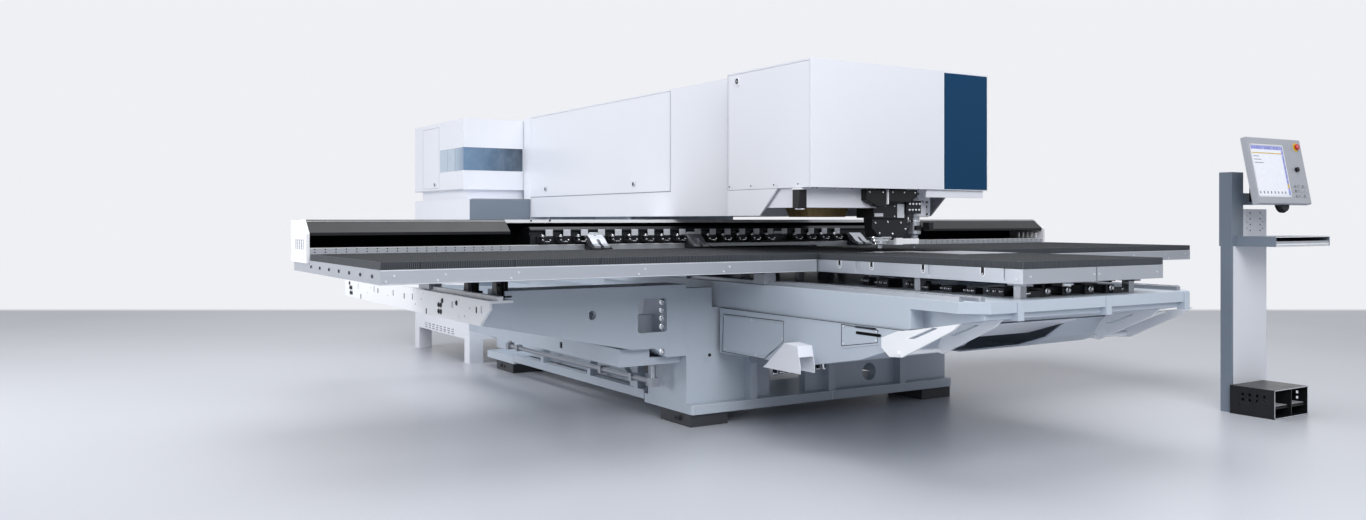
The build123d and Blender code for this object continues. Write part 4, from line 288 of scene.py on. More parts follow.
class Form:
    """The points and faces of one piece, gathered before they become a mesh."""

    def __init__(self, name, look, body="machine", bevel=0.0, replaced=()):
        self.points = []
        self.faces = []
        pieces.append((self, name, look, body, bevel, replaced))

    def add(self, points, faces):
        """Adds points, and faces that count from the first of them."""
        start = len(self.points)
        self.points.extend(tuple(point) for point in points)
        self.faces.extend([start + i for i in face] for face in faces)

    def box(self, one, other):
        """A block between two opposite corners."""
        xs, ys, zs = (sorted(pair) for pair in zip(one, other))
        corners = [(x, y, z) for x in xs for y in ys for z in zs]
        self.add(corners, BOX_FACES)

    def prism(self, outline, push):
        """A flat outline pushed straight along a vector."""
        count = len(outline)
        far = [Vector(point) + Vector(push) for point in outline]
        sides = [(i, (i + 1) % count, count + (i + 1) % count, count + i) for i in range(count)]
        self.add([*outline, *far], [list(range(count))[::-1], list(range(count, 2 * count)), *sides])

    def plate(self, axis, level, outline, push):
        """An outline drawn across the X or Y axis at a level, pushed along that axis."""
        if axis == "x":
            self.prism([(level, u, v) for u, v in outline], (push, 0, 0))
        else:
            self.prism([(u, level, v) for u, v in outline], (0, push, 0))

    def slot(self, axis, level, middle, half, radius, push):
        """A plate with round corners, from its middle and half its size."""
        (u, v), (across, up) = middle, half
        self.plate(axis, level, rounded((u - across, v - up), (u + across, v + up), radius), push)

    def turn(self, base, axis, profile, sides=12):
        """A profile of radius and height turned round an axis."""
        axis = Vector(axis).normalized()
        across = axis.orthogonal().normalized()
        other = axis.cross(across)
        rings = []
        for radius, height in profile:
            middle = Vector(base) + axis * height
            angles = [2 * math.pi * i / sides for i in range(sides if radius else 1)]
            rings.append(range(len(self.points), len(self.points) + len(angles)))
            spokes = [across * math.cos(a) + other * math.sin(a) for a in angles]
            self.points.extend(tuple(middle + spoke * radius) for spoke in spokes)
        for first, second in zip(rings, rings[1:]):
            for i in range(sides):
                j = (i + 1) % sides
                quad = [first[i % len(first)], first[j % len(first)]]
                quad += [second[j % len(second)], second[i % len(second)]]
                face = list(dict.fromkeys(quad))
                if len(face) > 2:
                    self.faces.append(face)

    def disc(self, place, axis, radius, height, sides=12):
        """A flat round plate that stands on a surface."""
        self.turn(place, axis, [(radius, 0), (radius, height), (0, height)], sides)

    def rod(self, start, end, radius, sides=12):
        """A round bar with slightly broken ends."""
        length = (Vector(end) - Vector(start)).length
        lip = min(radius, length) * 0.2
        profile = [(0, 0), (radius - lip, 0), (radius, lip)]
        profile += [(radius, length - lip), (radius - lip, length), (0, length)]
        self.turn(start, Vector(end) - Vector(start), profile, sides)

    def screw(self, place, axis, radius, sides=12):
        """A socket-head screw with its recess."""
        outline = [(1, -0.1), (1, 0.35), (0.85, 0.5), (0.5, 0.5), (0.45, 0.15), (0, 0.15)]
        self.turn(place, axis, [(radius * r, radius * h) for r, h in outline], sides)


def rounded(low, high, radius):
    """The outline of a rectangle with round corners."""
    points = []
    centres = ((high[0] - radius, high[1] - radius), (low[0] + radius, high[1] - radius),
               (low[0] + radius, low[1] + radius), (high[0] - radius, low[1] + radius))
    for quarter, (u, v) in enumerate(centres):
        for i in range(CORNER_STEPS + 1):
            angle = math.pi / 2 * (quarter + i / CORNER_STEPS)
            points.append((u + radius * math.cos(angle), v + radius * math.sin(angle)))
    return points


def make(form, name, look, body, bevel, replaced):
    """Turns a form into a piece that rides on a body."""
    mesh = bpy.data.meshes.new(name)
    mesh.from_pydata(form.points, [], form.faces)
    work = bmesh.new()
    work.from_mesh(mesh)
    bmesh.ops.recalc_face_normals(work, faces=work.faces)
    work.to_mesh(mesh)
    work.free()
    mesh.shade_smooth()
    mesh.set_sharp_from_angle(angle=SHARP_ANGLE)
    mesh.materials.append(looks[look])
    piece = bpy.data.objects.new(name, mesh)
    bpy.context.scene.collection.objects.link(piece)
    if bevel:
        modifier = piece.modifiers.new("edges", "BEVEL")
        modifier.width = bevel
        modifier.segments = 2
        modifier.limit_method = "ANGLE"
    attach(piece, body)
    if replaced:
        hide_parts(*replaced)


# Brush tables: strips of bristles on a holder, with a comb of slats along the open edges
FOOT, TIP = (corner.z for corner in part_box("side_brushes"))
TABLE_INNER = 0.563
ROW_PITCH = 0.024
ROW_FILL = 0.44
FIELD_MARGIN = 0.01
TUFT_PITCH = 0.0155
TUFT_HALF = 0.0055
TUFT_TAPER = 0.003
SLAT_PITCH = 0.0095
SLAT_DEPTH = 0.008
HOLDER = 0.010
SIDES = ((-1, "left"), (1, "right"))


def free_spans(low, high, y, bays):
    """The stretches of a brush row that no bay cuts."""
    spans = [(low, high)]
    for bay_low, bay_high in bays:
        if bay_low[1] - ROW_PITCH / 2 < y < bay_high[1] + ROW_PITCH / 2:
            cut = []
            for a, b in spans:
                cut += [(a, min(b, bay_low[0])), (max(a, bay_high[0]), b)]
            spans = [(a, b) for a, b in cut if b - a > TUFT_PITCH]
    return spans


def tuft(form, x, y):
    """One bundle of bristles that spreads a little towards its tips."""
    low, high = FOOT + HOLDER, TIP - chance.uniform(0, 0.0012)
    lean_x, lean_y = chance.uniform(-0.0012, 0.0012), chance.uniform(-0.0015, 0.0015)
    foot, tip = TUFT_HALF * 0.8, TUFT_HALF * 1.15
    ring = ((-1, -1), (1, -1), (1, 1), (-1, 1))
    points = [(x + u * foot, y + v * foot, low) for u, v in ring]
    for half, z in ((tip, high - TUFT_TAPER), (tip * 0.6, high)):
        points += [(x + u * half + lean_x, y + v * half + lean_y, z) for u, v in ring]
    rows = [(a + i, a + (i + 1) % 4, a + 4 + (i + 1) % 4, a + 4 + i) for a in (0, 4) for i in range(4)]
    form.add(points, [*rows, (8, 9, 10, 11)])


def brush_field(name, low, high, body, bays, replaced):
    """All rows of bristles over one table."""
    form = Form(name, "brush", body, replaced=replaced)
    start = low[1] + FIELD_MARGIN
    depth = high[1] - low[1] - 2 * FIELD_MARGIN
    rows = int(depth / ROW_PITCH)
    pitch = depth / rows
    for row in range(rows):
        y = start + (row + 0.5) * pitch
        for a, b in free_spans(low[0] + 0.006, high[0] - 0.006, y, bays):
            form.box((a, y - pitch * ROW_FILL, FOOT), (b, y + pitch * ROW_FILL, FOOT + HOLDER))
            count = max(1, int((b - a) / TUFT_PITCH))
            step = (b - a) / count
            for i in range(count):
                tuft(form, a + (i + 0.5) * step, y)


def comb(form, start, end, depth):
    """A row of thin upright slats from start to end, standing back by depth."""
    start, end = Vector(start), Vector(end)
    count = int((end - start).length / SLAT_PITCH)
    step = (end - start) / count
    for i in range(count):
        a = start + step * (i + 0.18)
        b = start + step * (i + 0.82)
        form.box((a.x, a.y, FOOT + 0.001), (b.x + depth[0], b.y + depth[1], TIP - 0.0005))


def brush_tables():
    """Bristles and combs of both side tables and of the centre table."""
    low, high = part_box("side_brushes")
    for side, name in SIDES:
        outer = side * high.x
        near, far = sorted((side * TABLE_INNER, outer))
        brush_field(f"side_bristles_{name}", (near, low.y), (far, high.y), "y_axis", (), ("side_brushes",))
        edges = Form(f"side_comb_{name}", "comb", "y_axis")
        comb(edges, (near, low.y, 0), (far, low.y, 0), (0, SLAT_DEPTH))
        comb(edges, (outer, low.y, 0), (outer, high.y, 0), (-side * SLAT_DEPTH, 0))
    low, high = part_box("centre_brushes")
    margin = Vector((0.01, 0.01, 0))
    bays = [(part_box(node)[0] - margin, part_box(node)[1] + margin) for node in ("lower_die", "parts_flap")]
    brush_field("centre_bristles", low, high, "machine", bays, ("centre_brushes",))
    edges = Form("centre_comb", "comb")
    comb(edges, (low.x, low.y, 0), (high.x, low.y, 0), (0, SLAT_DEPTH))
    for x, inward in ((low.x, SLAT_DEPTH), (high.x, -SLAT_DEPTH)):
        comb(edges, (x, low.y, 0), (x, high.y, 0), (inward, 0))


# Radii of screw heads
SMALL_HEAD = 0.005
MEDIUM_HEAD = 0.006
LARGE_HEAD = 0.007

# Fasteners and trim of the travelling side tables
RAIL_SCREW_XS = (3.182, 2.926, 2.537, 1.788, 1.226)
RAIL_SCREW_PAIR = ((0.02, 1.001), (-0.02, 1.028))
RAIL_HEAD = 0.0065
END_SCREW_YS = [-1.90 + 0.21 * i for i in range(7)]
END_SCREW_Z = 1.022
END_HEAD = 0.0095
RAIL_START = 0.57
RAIL_LIP = 0.0015
MODULE = 0.494
SEAM_HALF = 0.0012


def side_table_details():
    """Screw pairs in the front rails, large heads in the end rails and lips under them."""
    low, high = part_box("side_table_frames")
    pale = Form("side_rail_screws", "pale_metal", "y_axis")
    dark = Form("end_rail_screws", "dark_steel", "y_axis")
    lips = Form("side_rail_lines", "pale_metal", "y_axis")
    for side in (-1, 1):
        for x in RAIL_SCREW_XS:
            for shift, z in RAIL_SCREW_PAIR:
                pale.screw((side * (x + shift), low.y, z), FRONT, RAIL_HEAD)
        for y in END_SCREW_YS:
            dark.screw((side * high.x, y, END_SCREW_Z), (side, 0, 0), END_HEAD)
        for z, height in ((FOOT - 0.006, 0.004), (low.z + 0.002, 0.003)):
            lips.box((side * RAIL_START, low.y - RAIL_LIP, z), (side * high.x, low.y, z + height))
        for seam in range(1, 6):
            x = side * (TABLE_INNER + seam * MODULE)
            dark.box((x - SEAM_HALF, low.y - 0.001, FOOT), (x + SEAM_HALF, low.y + 0.002, TIP - 0.002))


# Coordinate guide: ends of its dark covers, holes of its strips and screws of its top flange
COVER_ENDS = (-1.950, 1.765)
STRIP_PITCH = 0.062
STRIP_START = 0.03
STRIP_ZS = (1.105, 1.122)
STRIP_HOLE = 0.004
STRIP_CORNER = 0.0039
TOP_SCREW_XS = (-3.002, -2.753, -2.713, -2.443, -2.078, -2.025, -1.755, -1.616)
TOP_SCREW_Y = -0.473
CHANNEL_BACK = -0.2115


def guide_details():
    """Screws, trim line, hole strips, and near-black plates in the channel that are painted shade."""
    low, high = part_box("guide_base")
    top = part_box("guide_beam")[1].z
    screws = Form("guide_screws", "dark_steel", "y_axis")
    trim = Form("guide_trim", "white_trim", "y_axis")
    holes = Form("guide_strip_holes", "shade_and_joints", "y_axis")
    channel_shade = Form("guide_channel_shade", "shade_and_joints", "y_axis")
    for x in TOP_SCREW_XS:
        for side in (1, -1):
            screws.screw((side * x, TOP_SCREW_Y, top - 0.006), FRONT, RAIL_HEAD)
    for inner, outer in ((COVER_ENDS[0], low.x), (COVER_ENDS[1], high.x)):
        trim.box((inner, -0.499, top - 0.011), (outer, -0.4945, top - 0.007))
        # The strip holes are dark fills: painted shade inside them
        for i in range(int(abs(outer - inner) / STRIP_PITCH) + 1):
            x = outer - math.copysign(STRIP_START + i * STRIP_PITCH, outer)
            for z in STRIP_ZS:
                holes.slot("y", low.y - 0.0004, (x, z), (STRIP_HOLE, STRIP_HOLE), STRIP_CORNER, 0.002)
    trim.box((low.x, low.y - 0.0008, high.z - 0.004), (high.x, low.y, high.z))
    # Near-black plates on the back, floor and top of the channel: painted shade in the recess
    channel_shade.box((low.x, CHANNEL_BACK - 0.003, high.z), (high.x, CHANNEL_BACK, top - 0.022))
    channel_shade.box((low.x, -0.540, high.z), (high.x, -0.205, high.z + 0.0015))
    channel_shade.box((low.x, -0.466, top - 0.0235), (high.x, -0.212, top - 0.0215))


END_PLATE_SCREWS = ((-0.575, 1.06), (-0.40, 1.06), (-0.21, 1.06), (-0.21, 1.28), (-0.46, 1.28),
                    (-0.575, 1.205))
END_PLATE_INSET = 0.0025
END_SLOT_Y = -0.40
END_SLOT_ZS = [1.1215 + i * 0.017 for i in range(5)]
END_SLOT_HALF = (0.10, 0.0035)


def end_plate_details():
    """Black screws and level slots of the guide's end plates."""
    low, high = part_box("guide_beam")
    dark = Form("end_plate_screws", "dark_steel", "y_axis")
    slots = Form("end_plate_slots", "shade_and_joints", "y_axis")
    for side, end in ((-1, low.x), (1, high.x)):
        x = end - side * END_PLATE_INSET
        for y, z in END_PLATE_SCREWS:
            dark.screw((x - side * 0.001, y, z), (side, 0, 0), MEDIUM_HEAD)
        # The level slots are dark fills: painted shade inside them
        for z in END_SLOT_ZS:
            slots.slot("x", x + side * 0.0005, (END_SLOT_Y, z), END_SLOT_HALF, 0.0034, -side * 0.003)


# Tool stations on the transverse rail
STATION_START = -1.720
STATION_PITCH = 0.132
CLAMP_STATIONS = (3, 9, 15)
STATION_COUNT = 20
STUD_PLACE = (-0.583, 1.184)
STUD_RINGS = [(0, 0), (0.016, 0), (0.016, 0.003), (0.009, 0.004), (0.009, 0.007), (0.0145, 0.008),
              (0.0145, 0.010), (0.007, 0.011), (0.007, 0.014), (0.0055, 0.0155), (0, 0.0155)]
FINGER = ((-0.022, -0.640), (0.022, -0.640), (0.012, -0.668), (-0.012, -0.668))
FINGER_Z = 1.150
HOLDER_FRONT = -0.640
PLATE_FRONT = -0.5465


def tool_stations():
    """A stacked chrome stud, a finger and a pale plate at every tool station."""
    chrome = Form("station_studs", "chrome", "x_axis")
    plates = Form("station_plates", "pale_metal", "x_axis", 0.001)
    caps = Form("station_caps", "dark_steel", "x_axis")
    for i in range(STATION_COUNT):
        x = STATION_START + i * STATION_PITCH
        plates.box((x + 0.040, PLATE_FRONT, 1.188), (x + 0.092, PLATE_FRONT + 0.0055, 1.232))
        plates.screw((x + 0.066, PLATE_FRONT, 1.222), FRONT, SMALL_HEAD)
        if i in CLAMP_STATIONS:
            continue
        chrome.turn((x, *STUD_PLACE), UP, STUD_RINGS, 20)
        chrome.prism([(x + u, v, FINGER_Z) for u, v in FINGER], (0, 0, 0.006))
        for side in (-1, 1):
            pin, near, far = (x + side * reach for reach in (0.027, 0.018, 0.034))
            chrome.rod((pin, HOLDER_FRONT, 1.163), (pin, HOLDER_FRONT - 0.012, 1.163), 0.0055)
            caps.box((near, HOLDER_FRONT - 0.0025, 1.170), (far, HOLDER_FRONT, 1.184))


CLAMP_PLATE = ((-0.030, 1.212), (0.030, 1.212), (0.044, 1.194), (-0.044, 1.194))


def clamp_details():
    """Bolts and a pale side plate on each sheet clamp."""
    low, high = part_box("clamp_bodies")
    bolts = Form("clamp_bolts", "dark_steel", "x_axis")
    plates = Form("clamp_plates", "pale_metal", "x_axis")
    for index in CLAMP_STATIONS:
        x = STATION_START + index * STATION_PITCH
        for side in (-1, 1):
            for y in (low.y + 0.04, high.y - 0.03):
                bolts.screw((x + side * 0.055, y, high.z - 0.001), UP, LARGE_HEAD)
        plates.plate("y", -0.548, [(x + u, z) for u, z in CLAMP_PLATE], -0.004)


# Outriggers and arms under the side tables
PLATE_BOLTS = ((1.300, 0.806), (1.280, 0.774), (1.271, 0.735), (-0.819, 0.805), (-0.794, 0.776),
               (-0.794, 0.736), (-1.066, 0.807), (1.240, 0.774), (1.231, 0.735), (-0.754, 0.776),
               (-0.754, 0.736))
OBLONG_SLOTS = ((0.985, 0.722), (0.541, 0.789), (-0.066, 0.789), (-0.519, 0.720), (-1.384, 0.788))
OBLONG_HALF = (0.009, 0.019)
SMALL_DOTS = ((0.80, 0.76), (0.72, 0.80), (0.30, 0.77), (0.18, 0.80), (-0.30, 0.75), (-0.42, 0.79),
              (-1.20, 0.74), (-1.28, 0.79))
ARM_BOLT_X = 1.306
ARM_BOLT_ZS = (0.789, 0.739, 0.689, 0.637, 0.480)
ARM_WASHER = [(0.020, 0), (0.020, 0.004), (0.016, 0.006), (0, 0.006)]


def outrigger_details():
    """Bolts, oblong slots and small holes of the outrigger plates, and the bolts of their arms."""
    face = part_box("outriggers")[1].x
    arm_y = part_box("outrigger_arms")[0].y
    dark = Form("outrigger_bolts", "dark_steel")
    slots = Form("outrigger_slots", "shade_and_joints")
    arms = Form("arm_bolts", "chrome")
    for side in (-1, 1):
        for y, z in PLATE_BOLTS:
            dark.disc((side * face, y, z), (side, 0, 0), 0.017, 0.0015, 16)
            dark.screw((side * face, y, z), (side, 0, 0), 0.013, 6)
        # The oblong slots and small holes are dark fills: painted shade inside them
        for middle in OBLONG_SLOTS:
            slots.slot("x", side * (face + 0.0006), middle, OBLONG_HALF, 0.0088, -side * 0.003)
        for y, z in SMALL_DOTS:
            slots.disc((side * face, y, z), (side, 0, 0), 0.004, 0.0006, 10)
        for z in ARM_BOLT_ZS:
            arms.turn((side * ARM_BOLT_X, arm_y, z), FRONT, ARM_WASHER, 20)
            arms.screw((side * ARM_BOLT_X, arm_y - 0.006, z), FRONT, 0.012, 6)


GUARD_XS = (2.318, 2.336)
GUARD_YS = (-1.38, -0.93)
GUARD_SIDE = ((-0.045, 0.866), (0.045, 0.866), (0.045, 0.940), (0.020, 0.968), (-0.020, 0.968),
              (-0.045, 0.940))
GUARD_BASE = ((2.300, -0.060, 0.853), (2.354, 0.060, 0.867))


def roller_guards():
    """Black guard blocks with a sloping nose beside the rollers that carry the side tables."""
    form = Form("roller_guards", "black_plastic", bevel=0.002)
    bolts = Form("roller_guard_bolts", "pale_metal")
    for side in (-1, 1):
        for y in GUARD_YS:
            for x in GUARD_XS:
                form.plate("x", side * x, [(y + u, z) for u, z in GUARD_SIDE], side * 0.010)
                bolts.screw((side * x, y, 0.905), (-side, 0, 0), 0.010, 6)
            form.box(*[(side * u, y + v, z) for u, v, z in GUARD_BASE])


# Bed covers with their access panels
PANELS = (((-1.536, 0.703), (-2.156, 0.707), (-2.156, 0.588), (-1.966, 0.466), (-1.516, 0.466)),
          ((-2.674, 0.732), (-2.963, 0.724), (-2.958, 0.660), (-2.674, 0.615)))
PANEL_SCREWS = ((-1.548, 0.693), (-1.838, 0.690), (-2.146, 0.697), (-2.146, 0.604), (-1.878, 0.481),
                (-1.548, 0.484), (-2.686, 0.722), (-2.95, 0.714), (-2.945, 0.668), (-2.686, 0.628))
PANEL_HEAD = [(0.007, 0), (0.007, 0.002), (0.003, 0.003), (0, 0.003)]
HANDLE_SLOT = (-2.8875, 0.698)
HANDLE_HALF = (0.0975, 0.008)
JOINT_WIDTH = 0.0035


def panel_lines(form, level, outline, side):
    """Dark joint lines along the outline of a panel."""
    for (y0, z0), (y1, z1) in zip(outline, outline[1:] + outline[:1]):
        line = Vector((0, y1 - y0, z1 - z0)).normalized()
        away = Vector((0, -line.z, line.y)) * JOINT_WIDTH / 2
        a, b = Vector((level, y0, z0)), Vector((level, y1, z1))
        form.prism([a - away, b - away, b + away, a + away], (side * 0.0008, 0, 0))


def bed_cover_details():
    """Access panels, their screws, the handle slot and the seams of the bed covers."""
    low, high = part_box("bed_covers")
    lines = Form("cover_seams", "dark_paint")
    screws = Form("cover_screws", "pale_metal")
    slots = Form("cover_slots", "shade_and_joints")
    for side in (-1, 1):
        level = side * (high.x - 0.0003)
        for outline in PANELS:
            panel_lines(lines, level, outline, side)
        for y, z in PANEL_SCREWS:
            screws.turn((level, y, z), (side, 0, 0), PANEL_HEAD)
        # The handle slot is a dark fill: painted shade inside it
        slots.slot("x", level, HANDLE_SLOT, HANDLE_HALF, 0.0078, side * 0.0015)
        slots.box((level, low.y + 0.02, high.z - 0.003), (level + side * 0.0015, high.y, high.z - 0.0005))


RAIL_XS = (0.775, 0.855)
RAIL_SCREW_COUNT = 30
RAIL_END = 0.06


def bed_details():
    """Screws along the rails of the bed."""
    low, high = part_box("bed_rails")
    screws = Form("bed_rail_screws", "dark_steel")
    pitch = (high.y - low.y - 2 * RAIL_END) / (RAIL_SCREW_COUNT - 1)
    for side in (-1, 1):
        for rail in RAIL_XS:
            for i in range(RAIL_SCREW_COUNT):
                y = low.y + RAIL_END + i * pitch
                screws.disc((side * rail, y, high.z), UP, MEDIUM_HEAD, 0.0005, 10)


# Drives and fittings between the bed and the centre table
VALVE_REARS = {-1: -2.25, 1: -2.76}
SIDE_PORT = [(0.008, 0), (0.008, 0.010), (0.005, 0.012), (0.005, 0.020), (0, 0.020)]
FRONT_PORT = [(0.016, 0), (0.016, 0.008), (0.009, 0.010), (0.009, 0.018), (0, 0.018)]
FRONT_BLOCK_XS = (-0.24, -0.08, 0.10, 0.27)
VALVE_RODS = ((0.31, 0.062, 0.007), (0.34, 0.066, 0.005))


def under_table_units():
    """Dark valve blocks, fittings and rods that stand on the bed under the centre table."""
    bed_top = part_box("bed")[1].z
    blocks = Form("valve_blocks", "dark_steel", bevel=0.002)
    fittings = Form("valve_fittings", "chrome")
    rods = Form("valve_rods", "dark_steel")
    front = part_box("centre_table_frame")[0].y
    for side, rear in VALVE_REARS.items():
        y = front + 0.16
        while y < rear:
            width, depth = chance.uniform(0.03, 0.06), chance.uniform(0.05, 0.11)
            height = chance.uniform(0.028, 0.05)
            x = side * chance.uniform(0.30, 0.40)
            blocks.box((x - width, y - depth / 2, bed_top), (x + width, y + depth / 2, bed_top + height))
            for shift in (-0.4, 0, 0.4):
                port = (x + side * width, y + shift * depth, bed_top + height * 0.6)
                fittings.turn(port, (side, 0, 0), SIDE_PORT, 10)
            y += depth + chance.uniform(0.05, 0.11)
        for x, rise, radius in VALVE_RODS:
            ends = [(side * x, end, bed_top + rise) for end in (front + 0.14, rear)]
            rods.rod(*ends, radius)
    for x in FRONT_BLOCK_XS:
        blocks.box((x - 0.035, front + 0.12, bed_top), (x + 0.035, front + 0.21, bed_top + 0.045))
        fittings.turn((x, front + 0.12, bed_top + 0.028), FRONT, FRONT_PORT, 14)


NOTCH_YS = (-3.35, -2.93, -2.52, -2.24)
NOTCH_DEPTH = 0.030
FRONT_RAIL_SCREW_XS = (-0.50, -0.02, 0.02, 0.50)


def notch(form, level, y, top, radius, push):
    """A slot that opens at the top edge of a rail and ends round below."""
    outline = [(y - radius, top), (y + radius, top)]
    for angle in [math.pi * i / 8 for i in range(9)]:
        outline.append((y + radius * math.cos(angle), top - NOTCH_DEPTH - radius * math.sin(angle)))
    form.plate("x", level, outline, push)


def centre_table_details():
    """Notches with pale rims, joint lines and screws on the centre table's rails."""
    low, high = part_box("centre_table_frame")
    rims = Form("notch_rims", "white_trim")
    notches = Form("notches", "black_plastic")
    screws = Form("centre_rail_screws", "pale_metal")
    seams = Form("centre_rail_seam", "shade_and_joints")
    for side in (-1, 1):
        level = side * high.x
        for y in NOTCH_YS:
            notch(rims, level, y, high.z, 0.016, side * 0.0010)
            notch(notches, level, y, high.z, 0.010, side * 0.0016)
            screws.screw((level + side * 0.0016, y, high.z - 0.032), (side, 0, 0), SMALL_HEAD)
        screws.screw((level, low.y + 0.04, low.z + 0.02), (side, 0, 0), MEDIUM_HEAD)
    for x in FRONT_RAIL_SCREW_XS:
        screws.screw((x, low.y, low.z + 0.036), FRONT, SMALL_HEAD)
    seams.box((-0.0015, low.y - 0.0008, low.z), (0.0015, low.y, high.z))


# Hood, frame cover and what hangs under them
LOCK_PLACE = (-1.448, 2.193)
LOCK_RING = ((1, 0), (1, 0.004), (0.78, 0.006), (0.74, 0.002), (0, 0.002))
LOCK_HEART = ((0.70, 0), (0.70, 0.005), (0.3, 0.006), (0.3, 0.003), (0, 0.003))
HOOD_SCREWS = 11
SKIRT_SCREW_YS = [-2.10 + i * 0.24 for i in range(4)]


def lock(rings, hearts, place, axis, radius):
    """A round turn-lock: a pale ring, a black heart and its key slot."""
    rings.turn(place, axis, [(radius * r, h) for r, h in LOCK_RING], 28)
    hearts.turn(place, axis, [(radius * r, h) for r, h in LOCK_HEART], 24)


def hood_details():
    """Lock, edge trims, painted shadow lines along the hood's joints, and the row of screws of the hood."""
    low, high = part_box("head_hood")
    blue_low, blue_high = (corner.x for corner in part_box("head_hood_blue"))
    trims = Form("hood_trims", "white_trim")
    seams = Form("hood_shadow_lines", "dark_paint")
    screws = Form("hood_screws", "dark_steel")
    rings = Form("hood_lock_ring", "pale_metal", "door_hood")
    hearts = Form("hood_lock_heart", "black_plastic", "door_hood")
    lock(rings, hearts, (low.x, *LOCK_PLACE), (-1, 0, 0), 0.024)
    inside = low.y + 0.002
    trims.box((blue_low - 0.004, low.y - 0.001, low.z + 0.002), (blue_low, inside, high.z - 0.004))
    trims.box((blue_high - 0.004, low.y - 0.0012, low.z + 0.002), (blue_high, inside, high.z - 0.006))
    for foot, head in ((low.z, low.z + 0.004), (high.z - 0.010, high.z - 0.005)):
        trims.box((blue_low, low.y - 0.0012, foot), (blue_high, inside, head))
    # Dark lines at the hood's joints, along its rear edges and the foot of its front: painted shadow lines
    for x, inward in ((low.x, 0.001), (high.x, -0.001)):
        seams.box((x, high.y - 0.003, low.z), (x + inward, high.y, high.z - 0.004))
    seams.box((low.x + 0.002, low.y - 0.0008, low.z), (blue_low, low.y + 0.001, low.z + 0.0022))
    for i in range(HOOD_SCREWS):
        x = low.x + 0.06 + i * (high.x - low.x - 0.12) / (HOOD_SCREWS - 1)
        screws.screw((x, low.y + 0.02, low.z - 0.001), (0, 0, -1), MEDIUM_HEAD)
    for y in SKIRT_SCREW_YS:
        screws.screw((low.x - 0.0163, y, 1.512), (-1, 0, 0), SMALL_HEAD)


FLAP_LOCK_YS = (1.733, 0.112)
FLAP_LOCK_RISE = 0.070
FLAP_LINE = 0.003


def flap_details():
    """Joint lines round the side flaps of the frame cover and their locks."""
    for side, name in SIDES:
        body = f"flap_panel_{name}"
        low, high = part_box(f"side_flap_{name}")
        face = side * max(abs(low.x), abs(high.x))
        front = face + side * 0.0006
        rings = Form(f"flap_lock_rings_{name}", "pale_metal", body)
        hearts = Form(f"flap_lock_hearts_{name}", "black_plastic", body)
        lines = Form(f"flap_lines_{name}", "slate", body)
        for y in FLAP_LOCK_YS:
            lock(rings, hearts, (face, y, low.z + FLAP_LOCK_RISE), (side, 0, 0), 0.020)
        lines.box((face, low.y, low.z), (front, low.y + FLAP_LINE, high.z))
        lines.box((face, low.y, low.z), (front, high.y, low.z + FLAP_LINE))


HOOD_BOX_Y = -2.150
HOOD_BOX_DEPTH = 0.16
HOOD_BOXES = (((-0.264, 1.487), (-0.100, 1.487), (-0.100, 1.380), (-0.175, 1.380), (-0.264, 1.420)),
              ((-0.077, 1.487), (0.164, 1.487), (0.164, 1.444), (0.090, 1.410), (-0.077, 1.410)))
HOOD_BOX_SCREW_XS = (-0.24, -0.13, -0.05, 0.05, 0.14)
SENSOR_BOX = ((-0.7595, -2.112, 1.366), (-0.700, -2.048, 1.4785))
SENSOR_PLATE = ((-0.7605, -2.114, 1.4785), (-0.698, -2.046, 1.4885))


def under_hood_units():
    """Angular black boxes and brackets that hang from the hood beside the punching head."""
    black = Form("hood_boxes", "dark_paint", bevel=0.003)
    pale = Form("hood_box_plate", "white_trim", bevel=0.001)
    chrome = Form("hood_box_screws", "chrome")
    for outline in HOOD_BOXES:
        black.plate("y", HOOD_BOX_Y, outline, HOOD_BOX_DEPTH)
    for x in HOOD_BOX_SCREW_XS:
        chrome.screw((x, HOOD_BOX_Y, 1.470), FRONT, MEDIUM_HEAD)
    pale.box((-0.094, HOOD_BOX_Y - 0.004, 1.395), (-0.083, HOOD_BOX_Y + 0.15, 1.487))
    black.box(*SENSOR_BOX)
    pale.box(*SENSOR_PLATE)


# Plates of the punching head, as X, Y from the head's front, and Z of two corners
HEAD_BLACK = (((-0.134, -0.006, 1.307), (0.052, 0, 1.397)), ((0.134, -0.016, 1.337), (0.262, 0.04, 1.421)))
HEAD_WHITE = (((0.058, -0.004, 1.139), (0.115, 0.02, 1.182)), ((0.146, 0.03, 1.142), (0.288, 0.05, 1.177)))
HEAD_PALE = (((-0.130, -0.012, 1.318), (-0.060, -0.006, 1.340)),
             ((0.068, -0.003, 1.310), (0.128, 0.001, 1.400)))
HEAD_SHIELD = ((-0.146, 1.300), (0.150, 1.300), (0.150, 1.230), (0.110, 1.192), (-0.100, 1.192),
               (-0.146, 1.240))
SIDE_BLOCK = ((0.425, -1.99, 1.231), (0.465, -1.93, 1.280))
UPPER_SCREWS = ((-0.12, 1.385), (-0.04, 1.385), (0.04, 1.385), (-0.12, 1.330), (0.04, 1.320))
SHIELD_SCREWS = ((-0.125, 1.280), (-0.02, 1.285), (0.09, 1.280), (0.13, 1.240), (-0.09, 1.215), (0.02, 1.210))
PLUG_XS = [0.150 + i * 0.028 for i in range(4)]
PLUG_ROWS = ((1.400, 0.034), (1.362, 0.030))
RAM_PLACE = (0, -1.980, 1.190)
RAM_STEPS = [(0.075, 0), (0.075, 0.010), (0.066, 0.014), (0.066, 0.030), (0.050, 0.036), (0.050, 0.046),
             (0.038, 0.050), (0, 0.050)]


